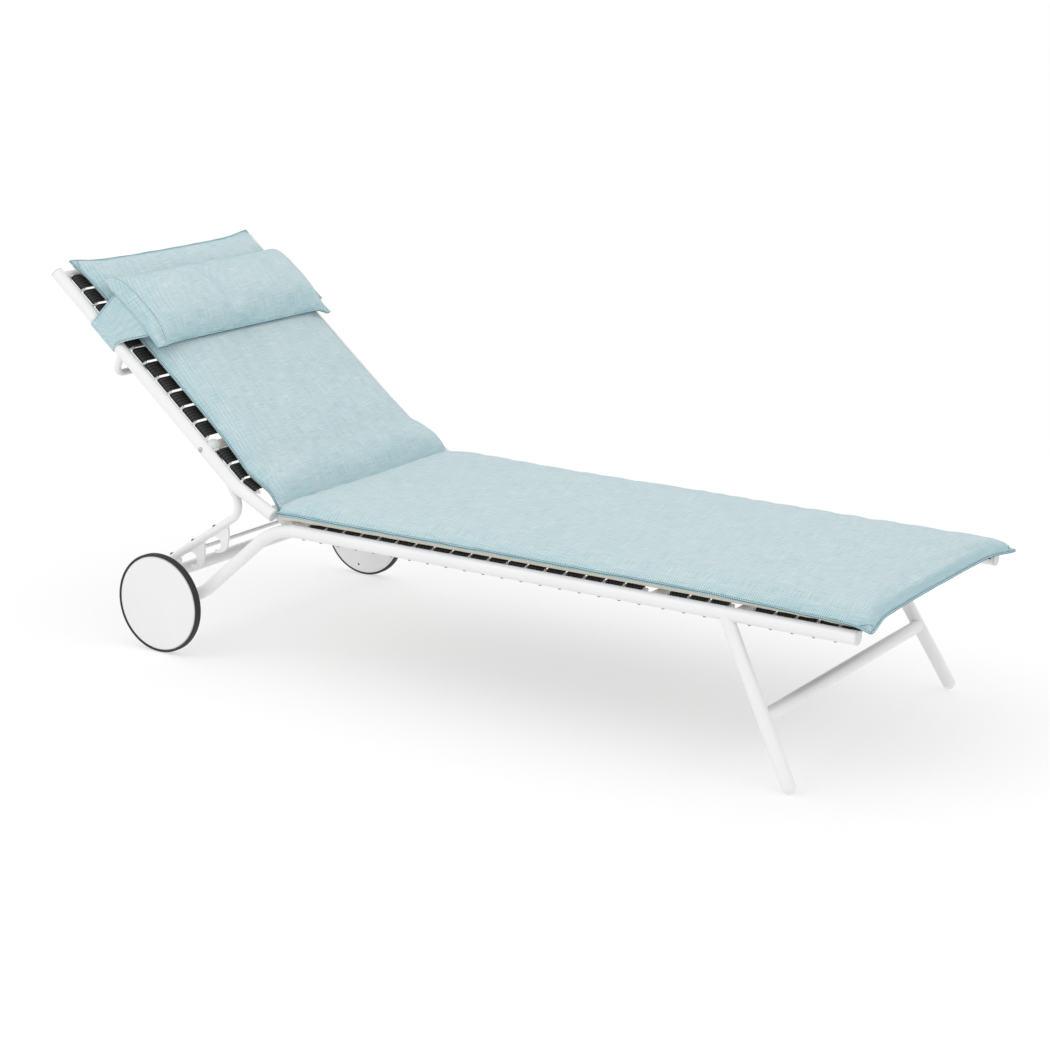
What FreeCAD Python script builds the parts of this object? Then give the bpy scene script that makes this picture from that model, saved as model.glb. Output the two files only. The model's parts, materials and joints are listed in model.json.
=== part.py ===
# Reclining sun lounger: a tubular frame on two wheels and two splayed legs, laced with elastic
# belts, with a backrest propped by a pair of notched stays, and loose cushions.
#
# +X points to the foot end, +Z up, and the lounger is the same on both sides of Y = 0.  The origin
# is on the floor, under the middle of the lounger with its backrest up.  Lengths are millimetres.

import FreeCAD
import Part
import Sketcher
import os
from math import cos, hypot, pi, radians, sin, tan

V = FreeCAD.Vector
SIDES = (("left", -1), ("right", 1))
NODES = []

doc = FreeCAD.newDocument("sun_lounger")

# ---------------------------------------------------------------------------------------------
# Driving dimensions
# ---------------------------------------------------------------------------------------------

DIMENSIONS = (
    # side rails; insets are measured back from the foot end
    ("tube_outer", 25), ("tube_wall", 2), ("rail_spacing", 600), ("rail_height", 284),
    ("foot_end_x", 880.5), ("rail_corner_inset", 1226.6), ("slant_angle", 41.4),
    ("slant_end_rise", 21), ("rail_bend_radius", 140), ("axle_bend_radius", 90),
    ("rail_toe_out", 18),
    # wheels and axles
    ("axle_behind_corner", 258.4), ("wheel_radius", 100), ("wheel_width", 16),
    ("wheel_outset", 44), ("tyre_thickness", 5), ("hub_outer", 34), ("axle_diameter", 12),
    ("boss_outer", 26), ("web_thickness", 3), ("bush_wall", 4), ("running_gap", 0.06),
    # legs
    ("leg_top_inset", 251), ("leg_foot_inset", 96.6), ("leg_splay", 41.4),
    ("leg_bar_fraction", 0.6), ("foot_cap_length", 9), ("cap_thickness", 3),
    # seat cross tubes; the rear one lies a little ahead of the rails' bend
    ("front_cross_inset", 227), ("middle_cross_inset", 395), ("rear_cross_ahead", 35.6),
    # belts: the rows start an offset past a cross tube and fill the run to the next one
    ("belt_width", 34), ("belt_thickness", 2.2), ("rod_diameter", 6), ("rod_side_room", 7.5),
    ("rod_drop", 3.5), ("peg_diameter", 4.5), ("rivet_radius", 4.5), ("rear_belt_gap", 7),
    ("middle_belt_gap", 7), ("front_belt_gap", 6.5), ("back_belt_gap", 6.5),
    ("rear_belts_offset", 36), ("middle_belts_offset", 26), ("front_belts_offset", 26.5),
    ("upper_belts_offset", 12), ("lower_belts_offset", 18), ("last_belt_start", -5),
    ("rod_bend_radius", 25),
    # backrest: it hinges close to the lower end of its side tubes, which are bent a little
    ("hinge_behind_corner", 16), ("hinge_rise", 28.8), ("recline_angle", 39.8),
    ("back_bend_angle", 13.6), ("back_low_run", 106.5), ("back_high_run", 580.4),
    ("back_bend_radius", 150), ("hinge_inset", 14), ("hinge_pin_diameter", 8),
    ("hinge_tab_thickness", 5), ("hinge_eye_radius", 10), ("side_clearance", 0.3),
    ("stay_cross_outer", 22), ("stay_cross_run", 97), ("top_cross_outer", 20),
    ("top_cross_inset", 13.4), ("handle_outer", 14), ("handle_below_strap", 9),
    ("handle_depth", 52.6), ("handle_lean", 18), ("handle_bend_radius", 22),
    ("bolt_head_radius", 6),
    # stays, measured from the corner of the bent arm
    ("stay_outer", 16), ("stay_wall", 1.5), ("stay_side_gap", 1.5),
    ("stay_corner_behind", 96.4), ("stay_corner_rise", 12.6), ("stay_slope", 33.83),
    ("stay_bend_radius", 35), ("stay_length", 280), ("sleeve_wall", 3.4), ("sleeve_gap", 0.1),
    ("sleeve_width", 18), ("plate_thickness", 5), ("notch_pitch", 74), ("notch_start", 99.3),
    ("notch_room", 2.5), ("notch_count", 3), ("notch_clearance", 1.4),
    ("plate_screw_diameter", 4), ("tie_rod_diameter", 8), ("tie_rod_run", 135.3),
    ("tie_rod_depth", 15), ("catch_side_gap", 2), ("catch_overhang", 6),
    ("bracket_plate_thickness", 6), ("bracket_rim", 1),
    # cushions
    ("seat_cushion_overlap", 2), ("back_cushion_side_room", 15.5), ("cushion_thickness", 34),
    ("cushion_gap", 1.2), ("cushion_overhang", 18), ("crease_gap", 2),
    ("back_cushion_bottom", -84), ("back_cushion_past_tubes", 2.6), ("cushion_edge_radius", 14),
    ("back_cushion_edge_radius", 4), ("back_cushion_taper", 40), ("back_cushion_lip", 9),
    ("pillow_below_top", 80.4), ("pillow_height", 188), ("pillow_side_room", 6.5),
    ("pillow_thickness", 46), ("pillow_edge_radius", 20), ("strap_above_pillow_edge", 60),
    ("strap_width", 76), ("strap_thickness", 2), ("strap_gap", 1.5),
)

sheet = doc.addObject("Spreadsheet::Sheet", "dims")
for row, (alias, value) in enumerate(DIMENSIONS, start=1):
    sheet.set(f"A{row}", alias)
    sheet.set(f"B{row}", str(value))
    sheet.setAlias(f"B{row}", alias)
doc.recompute()


def dim(alias):
    return float(sheet.get(alias))


# ---------------------------------------------------------------------------------------------
# Helpers
# ---------------------------------------------------------------------------------------------

def frame_along(run, rise, origin):
    """Placement whose X runs along run, Z along rise; the two are at right angles."""
    return FreeCAD.Placement(origin, FreeCAD.Rotation(run, rise.cross(run), rise, "XYZ"))


def pointing(start, end):
    """Placement at start that turns local Z towards end."""
    return FreeCAD.Placement(start, FreeCAD.Rotation(V(0, 0, 1), end - start))


def node(obj, label):
    obj.Label = label
    NODES.append(obj)
    return obj


def rod(name, start, end, radius, expression=None):
    """A round bar from start to end; its radius may follow the sheet."""
    bar = doc.addObject("Part::Cylinder", name)
    bar.Radius = radius
    bar.Height = (end - start).Length
    bar.Placement = pointing(start, end)
    if expression:
        bar.setExpression("Radius", expression)
    return bar


def cut(name, base, tools):
    """base with every tool taken away."""
    if len(tools) > 1:
        tool = doc.addObject("Part::MultiFuse", name + "_tools")
        tool.Shapes = tools
    else:
        tool = tools[0]
    result = doc.addObject("Part::Cut", name)
    result.Base = base
    result.Tool = tool
    return result


def tube(name, start, end, outer_alias, wall_alias, tools=()):
    """A straight tube whose ends are shaped by the tools taken from it."""
    outer = dim(outer_alias) / 2
    body = rod(name + "_outer", start, end, outer, f"dims.{outer_alias} / 2")
    bore = rod(name + "_bore", start, end, outer - dim(wall_alias),
               f"dims.{outer_alias} / 2 - dims.{wall_alias}")
    return cut(name, body, [bore, *tools])


def group(name, members):
    bundle = doc.addObject("Part::Compound", name)
    bundle.Links = members
    return bundle


def origin_plane(body, role):
    return next(o for o in body.Origin.OriginFeatures if o.Role == role)


def sketch_on(body, name, role):
    sketch = body.newObject("Sketcher::SketchObject", name)
    sketch.AttachmentSupport = [(origin_plane(body, role), "")]
    sketch.MapMode = "FlatFace"
    return sketch


def add_circle(sketch, centre, radius, name, expression):
    """A circle at a fixed centre whose radius follows the sheet."""
    index = sketch.addGeometry(Part.Circle(centre, V(0, 0, 1), radius))
    if centre.Length == 0:
        sketch.addConstraint(Sketcher.Constraint("Coincident", index, 3, -1, 1))
    key = sketch.addConstraint(Sketcher.Constraint("Radius", index, radius))
    sketch.renameConstraint(key, name)
    sketch.setExpression("Constraints." + name, expression)


def polygon(points):
    """A closed outline of straight sides through points in local X and Z."""
    flat = [V(p.x, p.z, 0) for p in points]
    return [Part.LineSegment(a, b) for a, b in zip(flat, flat[1:] + flat[:1])]


def round_bar(start, end, radius):
    """The outline of a flat bar with half-round ends about start and end."""
    a, b = V(start.x, start.z, 0), V(end.x, end.z, 0)
    run = (b - a).normalize() * radius
    side = V(-run.y, run.x, 0)
    return [Part.LineSegment(a + side, b + side), Part.Arc(b + side, b + run, b - side),
            Part.LineSegment(b - side, a - side), Part.Arc(a - side, a - run, a + side)]


def add_outline(sketch, edges):
    for edge in edges:
        sketch.addGeometry(edge)


def rounded_path(points, radii):
    """Straight runs between the points, joined by tangent arcs of the given radii."""
    edges = []
    start = points[0]
    for before, corner, after, radius in zip(points, points[1:], points[2:], radii):
        inward = (before - corner).normalize()
        outward = (after - corner).normalize()
        half_turn = (pi - inward.getAngle(outward)) / 2
        reach = radius * tan(half_turn)
        middle = corner + (inward + outward).normalize() * (radius / cos(half_turn) - radius)
        edges.append(Part.LineSegment(start, corner + inward * reach))
        edges.append(Part.Arc(corner + inward * reach, middle, corner + outward * reach))
        start = corner + outward * reach
    edges.append(Part.LineSegment(start, points[-1]))
    return edges


def bent_tube(name, points, radii, outer_alias, wall_alias=None):
    """A tube, or a bar when it has no wall, bent in one plane along a sketched path.  The points
    lie in local X and Z, and the first run leaves the origin along X."""
    body = doc.addObject("PartDesign::Body", name)
    section = sketch_on(body, name + "_section", "YZ_Plane")
    outer = dim(outer_alias) / 2
    add_circle(section, V(0, 0, 0), outer, "outer", f"dims.{outer_alias} / 2")
    if wall_alias:
        add_circle(section, V(0, 0, 0), outer - dim(wall_alias), "bore",
                   f"dims.{outer_alias} / 2 - dims.{wall_alias}")
    path = sketch_on(body, name + "_path", "XZ_Plane")
    edges = rounded_path([V(p.x, p.z, 0) for p in points], radii)
    add_outline(path, edges)
    doc.recompute()
    pipe = body.newObject("PartDesign::AdditivePipe", name + "_pipe")
    pipe.Profile = section
    pipe.Spine = (path, [f"Edge{i}" for i in range(1, len(edges) + 1)])
    body.Tip = pipe
    return body


def plate(name, edges, thickness_alias, placement, holes=()):
    """A flat plate cut to an outline in local X and Z, as thick as the sheet says, centred on
    local Y = 0."""
    body = doc.addObject("PartDesign::Body", name)
    outline = sketch_on(body, name + "_outline", "XZ_Plane")
    add_outline(outline, edges)
    for index, (centre, radius, expression) in enumerate(holes):
        add_circle(outline, V(centre.x, centre.z, 0), radius, f"hole{index}", expression)
    pad = body.newObject("PartDesign::Pad", name + "_pad")
    pad.Profile = outline
    pad.Midplane = True
    pad.Length = dim(thickness_alias)
    pad.setExpression("Length", f"dims.{thickness_alias}")
    body.Tip = pad
    body.Placement = placement
    return body


def copies(name, template, places):
    """The template's solid repeated at every place, as one sub-part."""
    doc.recompute()
    shapes = []
    for place in places:
        shape = template.Shape.copy()
        shape.transformShape(place.toMatrix())
        shapes.append(shape)
    repeated = doc.addObject("Part::Feature", name)
    repeated.Shape = Part.makeCompound(shapes)
    return repeated


def turned(name, points, placement):
    """A solid of revolution about local Z from an outline in local X and Z."""
    body = doc.addObject("PartDesign::Body", name)
    outline = sketch_on(body, name + "_outline", "XZ_Plane")
    add_outline(outline, polygon(points))
    spin = body.newObject("PartDesign::Revolution", name + "_turned")
    spin.Profile = outline
    spin.ReferenceAxis = (outline, ["V_Axis"])
    spin.Angle = 360
    body.Tip = spin
    body.Placement = placement
    return body


def padded_block(name, low, high, radius_alias, placement):
    """A cushion's plain block with all its edges rounded."""
    block = doc.addObject("Part::Box", name + "_block")
    block.Length, block.Width, block.Height = high.x - low.x, high.y - low.y, high.z - low.z
    block.Placement = placement.multiply(FreeCAD.Placement(low, FreeCAD.Rotation()))
    doc.recompute()
    soft = doc.addObject("Part::Fillet", name)
    soft.Base = block
    radius = dim(radius_alias)
    soft.Edges = [(i, radius, radius) for i in range(1, len(block.Shape.Edges) + 1)]
    return soft


def padded_prism(name, points, half, width_expression, radius_alias, placement):
    """A cushion with an outline in local X and Z and the given half width, with the edges of its
    two side faces rounded."""
    body = doc.addObject("PartDesign::Body", name + "_body")
    outline = sketch_on(body, name + "_outline", "XZ_Plane")
    add_outline(outline, polygon(points))
    pad = body.newObject("PartDesign::Pad", name + "_pad")
    pad.Profile = outline
    pad.Midplane = True
    pad.Length = 2 * half
    pad.setExpression("Length", width_expression)
    body.Tip = pad
    doc.recompute()
    rims = [f"Edge{i}" for i, edge in enumerate(pad.Shape.Edges, start=1)
            if all(abs(abs(v.Y) - half) < 0.01 for v in edge.Vertexes)
            and abs(edge.Vertexes[0].Y - edge.Vertexes[-1].Y) < 0.01]
    rounding = body.newObject("PartDesign::Fillet", name + "_rounding")
    rounding.Base = (pad, rims)
    rounding.Radius = dim(radius_alias)
    rounding.setExpression("Radius", f"dims.{radius_alias}")
    body.Tip = rounding
    body.Placement = placement
    return body


# ---------------------------------------------------------------------------------------------
# Places worked out from the dimensions
# ---------------------------------------------------------------------------------------------

FOOT = dim("foot_end_x")
RAIL_Z = dim("rail_height")
RAIL_Y = dim("rail_spacing") / 2
TUBE_R = dim("tube_outer") / 2
BORE_R = TUBE_R - dim("tube_wall")
WHEEL_R = dim("wheel_radius")
HEADWARD = V(-1, 0, 0)


def seat_x(inset):
    return FOOT - inset


def behind_corner(distance):
    """X of a place behind the rails' bend; a place ahead of it has a negative distance."""
    return seat_x(dim("rail_corner_inset") + distance)


slant = radians(dim("slant_angle"))
slant_drop = RAIL_Z - WHEEL_R - dim("slant_end_rise")
RAIL_CORNER = V(behind_corner(0), 0, RAIL_Z)
RAIL_LOW = RAIL_CORNER + V(-slant_drop / tan(slant), 0, -slant_drop)
CROSS_X = {"front": seat_x(dim("front_cross_inset")), "middle": seat_x(dim("middle_cross_inset")),
           "rear": behind_corner(-dim("rear_cross_ahead"))}

recline = radians(dim("recline_angle"))
BACK_RUN = V(-cos(recline), 0, sin(recline))
BACK_RISE = V(sin(recline), 0, cos(recline))
low_angle = recline - radians(dim("back_bend_angle"))
LOW_RUN = V(-cos(low_angle), 0, sin(low_angle))
LOW_RISE = V(sin(low_angle), 0, cos(low_angle))
HINGE = V(behind_corner(dim("hinge_behind_corner")), 0, RAIL_Z + dim("hinge_rise"))
BACK_END = HINGE - LOW_RUN * dim("hinge_inset")
BACK_BEND = BACK_END + LOW_RUN * dim("back_low_run")
BACK_TOP = dim("back_high_run")
PILLOW_TOP = BACK_TOP - dim("pillow_below_top")
PILLOW_LOW = PILLOW_TOP - dim("pillow_height")
STRAP_LOW = PILLOW_LOW + dim("strap_above_pillow_edge")
BACK_CROSS = {"stay": dim("stay_cross_run"), "top": BACK_TOP - dim("top_cross_inset")}
BACK_FRAME = frame_along(BACK_RUN, BACK_RISE, BACK_BEND)
LOW_FRAME = frame_along(LOW_RUN, LOW_RISE, BACK_BEND)


def on_back(run, y, rise):
    """A point of the raised backrest: run up from its bend, rise in front of its tubes."""
    return BACK_BEND + BACK_RUN * run + BACK_RISE * rise + V(0, y, 0)


stay_slope = radians(dim("stay_slope"))
STAY_RUN = V(-cos(stay_slope), 0, -sin(stay_slope))
STAY_RISE = V(-sin(stay_slope), 0, cos(stay_slope))
STAY_CORNER = V(behind_corner(dim("stay_corner_behind")), 0, RAIL_Z + dim("stay_corner_rise"))
STAY_PIVOT = on_back(BACK_CROSS["stay"], 0, 0)
STAY_R = dim("stay_outer") / 2
STAY_Y = RAIL_Y - TUBE_R - dim("stay_side_gap") - STAY_R


def on_stay(run, y, depth):
    """A point of a stay: run along its straight arm from the corner, depth below the arm."""
    return STAY_CORNER + STAY_RUN * run - STAY_RISE * depth + V(0, y, 0)


last_notch = dim("notch_start") + (dim("notch_count") - 1) * dim("notch_pitch")
NOTCH_DEPTH = STAY_R + dim("notch_room") + TUBE_R
CATCH = on_stay(last_notch, 0, NOTCH_DEPTH)
CATCH_END = STAY_Y - STAY_R - dim("catch_side_gap")
BRACKET_OUTER = CATCH_END - dim("catch_overhang")
BRACKET_INNER = BRACKET_OUTER - dim("bracket_plate_thickness")

ROD_Y = RAIL_Y - TUBE_R - dim("rod_side_room")
ROD_R = dim("rod_diameter") / 2
ROD_RISE = TUBE_R - dim("rod_drop")
BELT_TOP = ROD_RISE + ROD_R + dim("belt_thickness")

AXLE = V(behind_corner(dim("axle_behind_corner")), 0, WHEEL_R)
WHEEL_Y = RAIL_Y + dim("wheel_outset")
WHEEL_INNER = WHEEL_Y - dim("wheel_width") / 2
BOSS_END = WHEEL_INNER - 1.5
BOSS_R = dim("boss_outer") / 2


# ---------------------------------------------------------------------------------------------
# Frame
# ---------------------------------------------------------------------------------------------

def plug(name, face, inward, outer, bore):
    """A disc over a tube's end with a stem pushed into the tube."""
    lip, stem = dim("cap_thickness"), 12
    points = [V(0, 0, 0), V(outer - 0.6, 0, 0), V(outer, 0, 0.6), V(outer, 0, lip),
              V(bore - 0.02, 0, lip), V(bore - 0.02, 0, lip + stem), V(0, 0, lip + stem)]
    return turned(name, points, pointing(face, face + inward))


def make_rails():
    """Each side rail is one tube: level under the seat, bent down behind it, and bent again out
    to the wheel's axle boss, which its end is cut to fit."""
    caps = []
    for side, sign in SIDES:
        face = V(FOOT, sign * RAIL_Y, RAIL_Z)
        start = face + HEADWARD * dim("cap_thickness")
        corner = RAIL_CORNER + V(0, sign * RAIL_Y, 0)
        low = RAIL_LOW + V(0, sign * RAIL_Y, 0)
        end = AXLE + V(0, sign * (RAIL_Y + dim("rail_toe_out")), 0)
        edges = rounded_path([start, corner, low, end],
                             [dim("rail_bend_radius"), dim("axle_bend_radius")])
        path = Part.Wire([edge.toShape() for edge in edges])
        shells = []
        for radius in (TUBE_R, BORE_R):
            ring = Part.Wire(Part.Circle(start, HEADWARD, radius).toShape())
            shells.append(path.makePipeShell([ring], True, False))
        solid = doc.addObject("Part::Feature", f"rail_solid_{side}")
        solid.Shape = shells[0]
        pipe = doc.addObject("Part::Feature", f"rail_pipe_{side}")
        pipe.Shape = shells[0].cut(shells[1])
        boss = rod(f"rail_boss_{side}", AXLE + V(0, sign * BRACKET_INNER, 0),
                   AXLE + V(0, sign * BOSS_END, 0), BOSS_R, "dims.boss_outer / 2")
        node(cut(f"rail_{side}_cut", pipe, [boss]), f"rail_{side}")
        caps.append(plug(f"rail_cap_{side}", face, HEADWARD, TUBE_R, BORE_R))
    node(group("rail_caps_group", caps), "rail_end_caps")


def leg_point(sign, fraction):
    """A point of a leg's centre line, from its top on the rail to its foot near the floor."""
    top = V(seat_x(dim("leg_top_inset")), sign * RAIL_Y, RAIL_Z)
    foot = V(seat_x(dim("leg_foot_inset")), sign * (RAIL_Y + dim("leg_splay")), TUBE_R)
    return top + (foot - top) * fraction


def foot_cap(name, foot, up):
    """A round-nosed plug: its nose is a half ball about the foot point, so it stands level."""
    collar, bore, steps = dim("foot_cap_length"), BORE_R - 0.02, 10
    ball = [V(TUBE_R * sin(pi / 2 * i / steps), 0, -TUBE_R * cos(pi / 2 * i / steps))
            for i in range(steps + 1)]
    points = ball + [V(TUBE_R, 0, collar), V(bore, 0, collar), V(bore, 0, collar + 14),
                     V(0, 0, collar + 14)]
    return turned(name, points, pointing(foot, foot + up))


def make_legs():
    """Splayed legs welded under the rails, with rounded caps on the floor and a bar between."""
    caps = []
    for side, sign in SIDES:
        top, foot = leg_point(sign, 0), leg_point(sign, 1)
        up = (top - foot).normalize()
        rail = rod(f"leg_rail_{side}", top + V(-60, 0, 0), top + V(60, 0, 0), TUBE_R,
                   "dims.tube_outer / 2")
        shoulder = foot + up * dim("foot_cap_length")
        leg = tube(f"leg_{side}", top, shoulder, "tube_outer", "tube_wall", [rail])
        node(leg, f"front_leg_{side}")
        caps.append(foot_cap(f"foot_cap_{side}", foot, up))
    node(group("foot_caps_group", caps), "foot_caps")
    legs = [rod(f"bar_leg_{side}", leg_point(sign, 0.3), leg_point(sign, 0.9), TUBE_R,
                "dims.tube_outer / 2") for side, sign in SIDES]
    share = dim("leg_bar_fraction")
    bar = tube("leg_bar", leg_point(-1, share), leg_point(1, share), "tube_outer", "tube_wall",
               legs)
    node(bar, "leg_crossbar")


def make_seat_cross_tubes():
    for label, x in CROSS_X.items():
        rails = [doc.getObject(f"rail_solid_{side}") for side, sign in SIDES]
        bar = tube(f"{label}_cross", V(x, -RAIL_Y, RAIL_Z), V(x, RAIL_Y, RAIL_Z), "tube_outer",
                   "tube_wall", rails)
        node(bar, f"seat_cross_tube_{label}")


def make_catch():
    """The bar that the stays' notches drop onto.  Two plates carry it above the axle bosses."""
    bar = tube("catch", CATCH - V(0, CATCH_END, 0), CATCH + V(0, CATCH_END, 0), "tube_outer",
               "tube_wall")
    node(bar, "catch_crossbar")
    plates, bosses, axles, clips = [], [], [], []
    axle_r = dim("axle_diameter") / 2
    tip = WHEEL_INNER + dim("wheel_width") - 1 - dim("web_thickness") - 0.5
    for side, sign in SIDES:
        middle = V(0, sign * (BRACKET_OUTER + BRACKET_INNER) / 2, 0)
        holes = [(CATCH, TUBE_R, "dims.tube_outer / 2"), (AXLE, BOSS_R, "dims.boss_outer / 2")]
        plates.append(plate(f"catch_plate_{side}",
                            round_bar(CATCH, AXLE, max(TUBE_R, BOSS_R) + dim("bracket_rim")),
                            "bracket_plate_thickness",
                            FreeCAD.Placement(middle, FreeCAD.Rotation()), holes))
        inner, outer = (AXLE + V(0, sign * y, 0) for y in (BRACKET_INNER, BOSS_END))
        body = rod(f"boss_{side}_outer", inner, outer, BOSS_R, "dims.boss_outer / 2")
        bore = rod(f"boss_{side}_bore", inner, outer, axle_r, "dims.axle_diameter / 2")
        bosses.append(cut(f"boss_{side}", body, [bore]))
        axles.append(rod(f"axle_{side}", inner + V(0, sign * 20, 0), AXLE + V(0, sign * tip, 0),
                         axle_r - 0.02, "dims.axle_diameter / 2 - 0.02"))
        ring = [V(axle_r - 0.02, 0, 0), V(axle_r + 3, 0, 0), V(axle_r + 3, 0, 1.4),
                V(axle_r - 0.02, 0, 1.4)]
        seat = AXLE + V(0, sign * (tip - 2), 0)
        clips.append(turned(f"clip_{side}", ring, pointing(seat, seat + V(0, sign, 0))))
    node(group("catch_plates_group", plates), "catch_bar_plates")
    node(group("bosses_group", bosses), "axle_bosses")
    node(group("axles_group", axles), "stub_axles")
    node(group("clips_group", clips), "axle_clips")


def hinge_tab_outline():
    """An eye about the hinge that narrows under the cushion and closes round the cross tube."""
    eye = dim("hinge_eye_radius")
    cross = V(CROSS_X["rear"], 0, RAIL_Z)
    points = [HINGE + V(cos(radians(a)), 0, sin(radians(a))) * eye
              for a in range(20, 250, 23)]
    around = ((-16, -6), (-8, -15), (8, -15), (16, -6), (16, 8), (10, TUBE_R + 1),
              (-30, TUBE_R + 1))
    return cross, polygon(points + [cross + V(x, 0, z) for x, z in around])


def make_hinges():
    """Tabs on the rear cross tube carry the backrest's two hinge pins."""
    tabs, pins = [], []
    cross, outline = hinge_tab_outline()
    thick = dim("hinge_tab_thickness")
    tab_y = RAIL_Y - TUBE_R - dim("side_clearance") - thick / 2
    radius = dim("hinge_pin_diameter") / 2
    holes = [(HINGE, radius + 0.02, "dims.hinge_pin_diameter / 2 + 0.02"),
             (cross, TUBE_R, "dims.tube_outer / 2")]
    head = [V(0, 0, -3), V(6, 0, -3), V(7, 0, -2), V(7, 0, 0), V(radius, 0, 0),
            V(radius, 0, 21), V(radius - 1, 0, 22), V(0, 0, 22)]
    for side, sign in SIDES:
        place = FreeCAD.Placement(V(0, sign * tab_y, 0), FreeCAD.Rotation())
        tabs.append(plate(f"hinge_tab_{side}", outline, "hinge_tab_thickness", place, holes))
        seat = HINGE + V(0, sign * (tab_y - thick / 2), 0)
        pins.append(turned(f"hinge_pin_{side}", head, pointing(seat, seat + V(0, sign, 0))))
    node(group("hinge_tabs_group", tabs), "hinge_tabs")
    node(group("hinge_pins_group", pins), "hinge_pins")


# ---------------------------------------------------------------------------------------------
# Belts, their rods and the pegs that carry the rods
# ---------------------------------------------------------------------------------------------

def make_templates():
    """One belt, one peg and one rivet, each made on a side tube that runs along X at Y = 0."""
    thick, hole = dim("belt_thickness"), ROD_R + 0.05
    belt = doc.addObject("PartDesign::Body", "belt")
    strap = sketch_on(belt, "belt_strap_outline", "YZ_Plane")
    low, high = ROD_RISE + hole, ROD_RISE + hole + thick
    add_outline(strap, polygon([V(-ROD_Y, 0, low), V(ROD_Y, 0, low), V(ROD_Y, 0, high),
                                V(-ROD_Y, 0, high)]))
    eyes = sketch_on(belt, "belt_eyes_outline", "YZ_Plane")
    for index, y in enumerate((-ROD_Y, ROD_Y)):
        centre = V(y, ROD_RISE, 0)
        add_circle(eyes, centre, hole, f"hole{index}", "dims.rod_diameter / 2 + 0.05")
        add_circle(eyes, centre, hole + thick, f"eye{index}",
                   "dims.rod_diameter / 2 + 0.05 + dims.belt_thickness")
    for name, outline in (("belt_strap", strap), ("belt_eyes", eyes)):
        pad = belt.newObject("PartDesign::Pad", name)
        pad.Profile = outline
        pad.Length = dim("belt_width")
        pad.setExpression("Length", "dims.belt_width")
        belt.Tip = pad
    side = rod("peg_side", V(-20, RAIL_Y, 0), V(20, RAIL_Y, 0), TUBE_R, "dims.tube_outer / 2")
    line = rod("peg_rod", V(-20, ROD_Y, ROD_RISE), V(20, ROD_Y, ROD_RISE), ROD_R,
               "dims.rod_diameter / 2")
    bar = rod("peg_bar", V(0, ROD_Y, ROD_RISE), V(0, RAIL_Y, ROD_RISE),
              dim("peg_diameter") / 2, "dims.peg_diameter / 2")
    peg = cut("peg", bar, [side, line])
    ball = doc.addObject("Part::Sphere", "rivet_ball")
    ball.Radius = dim("rivet_radius")
    ball.setExpression("Radius", "dims.rivet_radius")
    ball.Placement.Base = V(0, RAIL_Y, 2.3 - TUBE_R)
    rivet = cut("rivet", ball, [side])
    return belt, peg, rivet


def shifted(place, x, mirrored=False):
    """place moved by x along its own X, and turned about its Z for the other side."""
    turn = FreeCAD.Rotation(V(0, 0, 1), 180 if mirrored else 0)
    return place.multiply(FreeCAD.Placement(V(x, 0, 0), turn))


def both_sides(place, xs):
    return [shifted(place, x, flip) for x in xs for flip in (False, True)]


def belt_steps(run, gap):
    """How far along a run each of the belts that fill it begins."""
    pitch = dim("belt_width") + gap
    return [pitch * i for i in range(int((run + gap) // pitch))]


def make_seat_belts(belt, peg, rivet):
    """A row of belts in each of the seat's three bays, on rods held off the rails by pegs."""
    place = FreeCAD.Placement(V(FOOT, 0, RAIL_Z), FreeCAD.Rotation())
    width = dim("belt_width")
    bay_ends = {"rear": CROSS_X["middle"] - TUBE_R, "middle": CROSS_X["front"] - TUBE_R,
                "front": FOOT - dim("cap_thickness")}
    rods, spots = [], []
    for label, bay_end in bay_ends.items():
        gap = dim(f"{label}_belt_gap")
        first = CROSS_X[label] + dim(f"{label}_belts_offset")
        starts = [first - FOOT + step for step in belt_steps(bay_end - first, gap)]
        node(copies(f"{label}_belts_set", belt, [shifted(place, x) for x in starts]),
             f"seat_belts_{label}")
        half_gap = gap / 2
        gaps = [x - half_gap for x in starts]
        end = starts[-1] + width
        if label != "front":
            gaps.append(end + half_gap)
        spots += gaps
        ends = starts[0] - 8, min(end + 8, -dim("cap_thickness"))
        for side, sign in SIDES:
            a, b = (V(FOOT + x, sign * ROD_Y, RAIL_Z + ROD_RISE) for x in ends)
            rods.append(rod(f"seat_rod_{label}_{side}", a, b, ROD_R, "dims.rod_diameter / 2"))
    node(group("seat_rods_group", rods), "seat_belt_rods")
    node(copies("seat_pegs_set", peg, both_sides(place, spots)), "seat_belt_pegs")
    node(copies("rail_rivets_set", rivet, both_sides(place, spots)), "rail_rivets")


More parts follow.
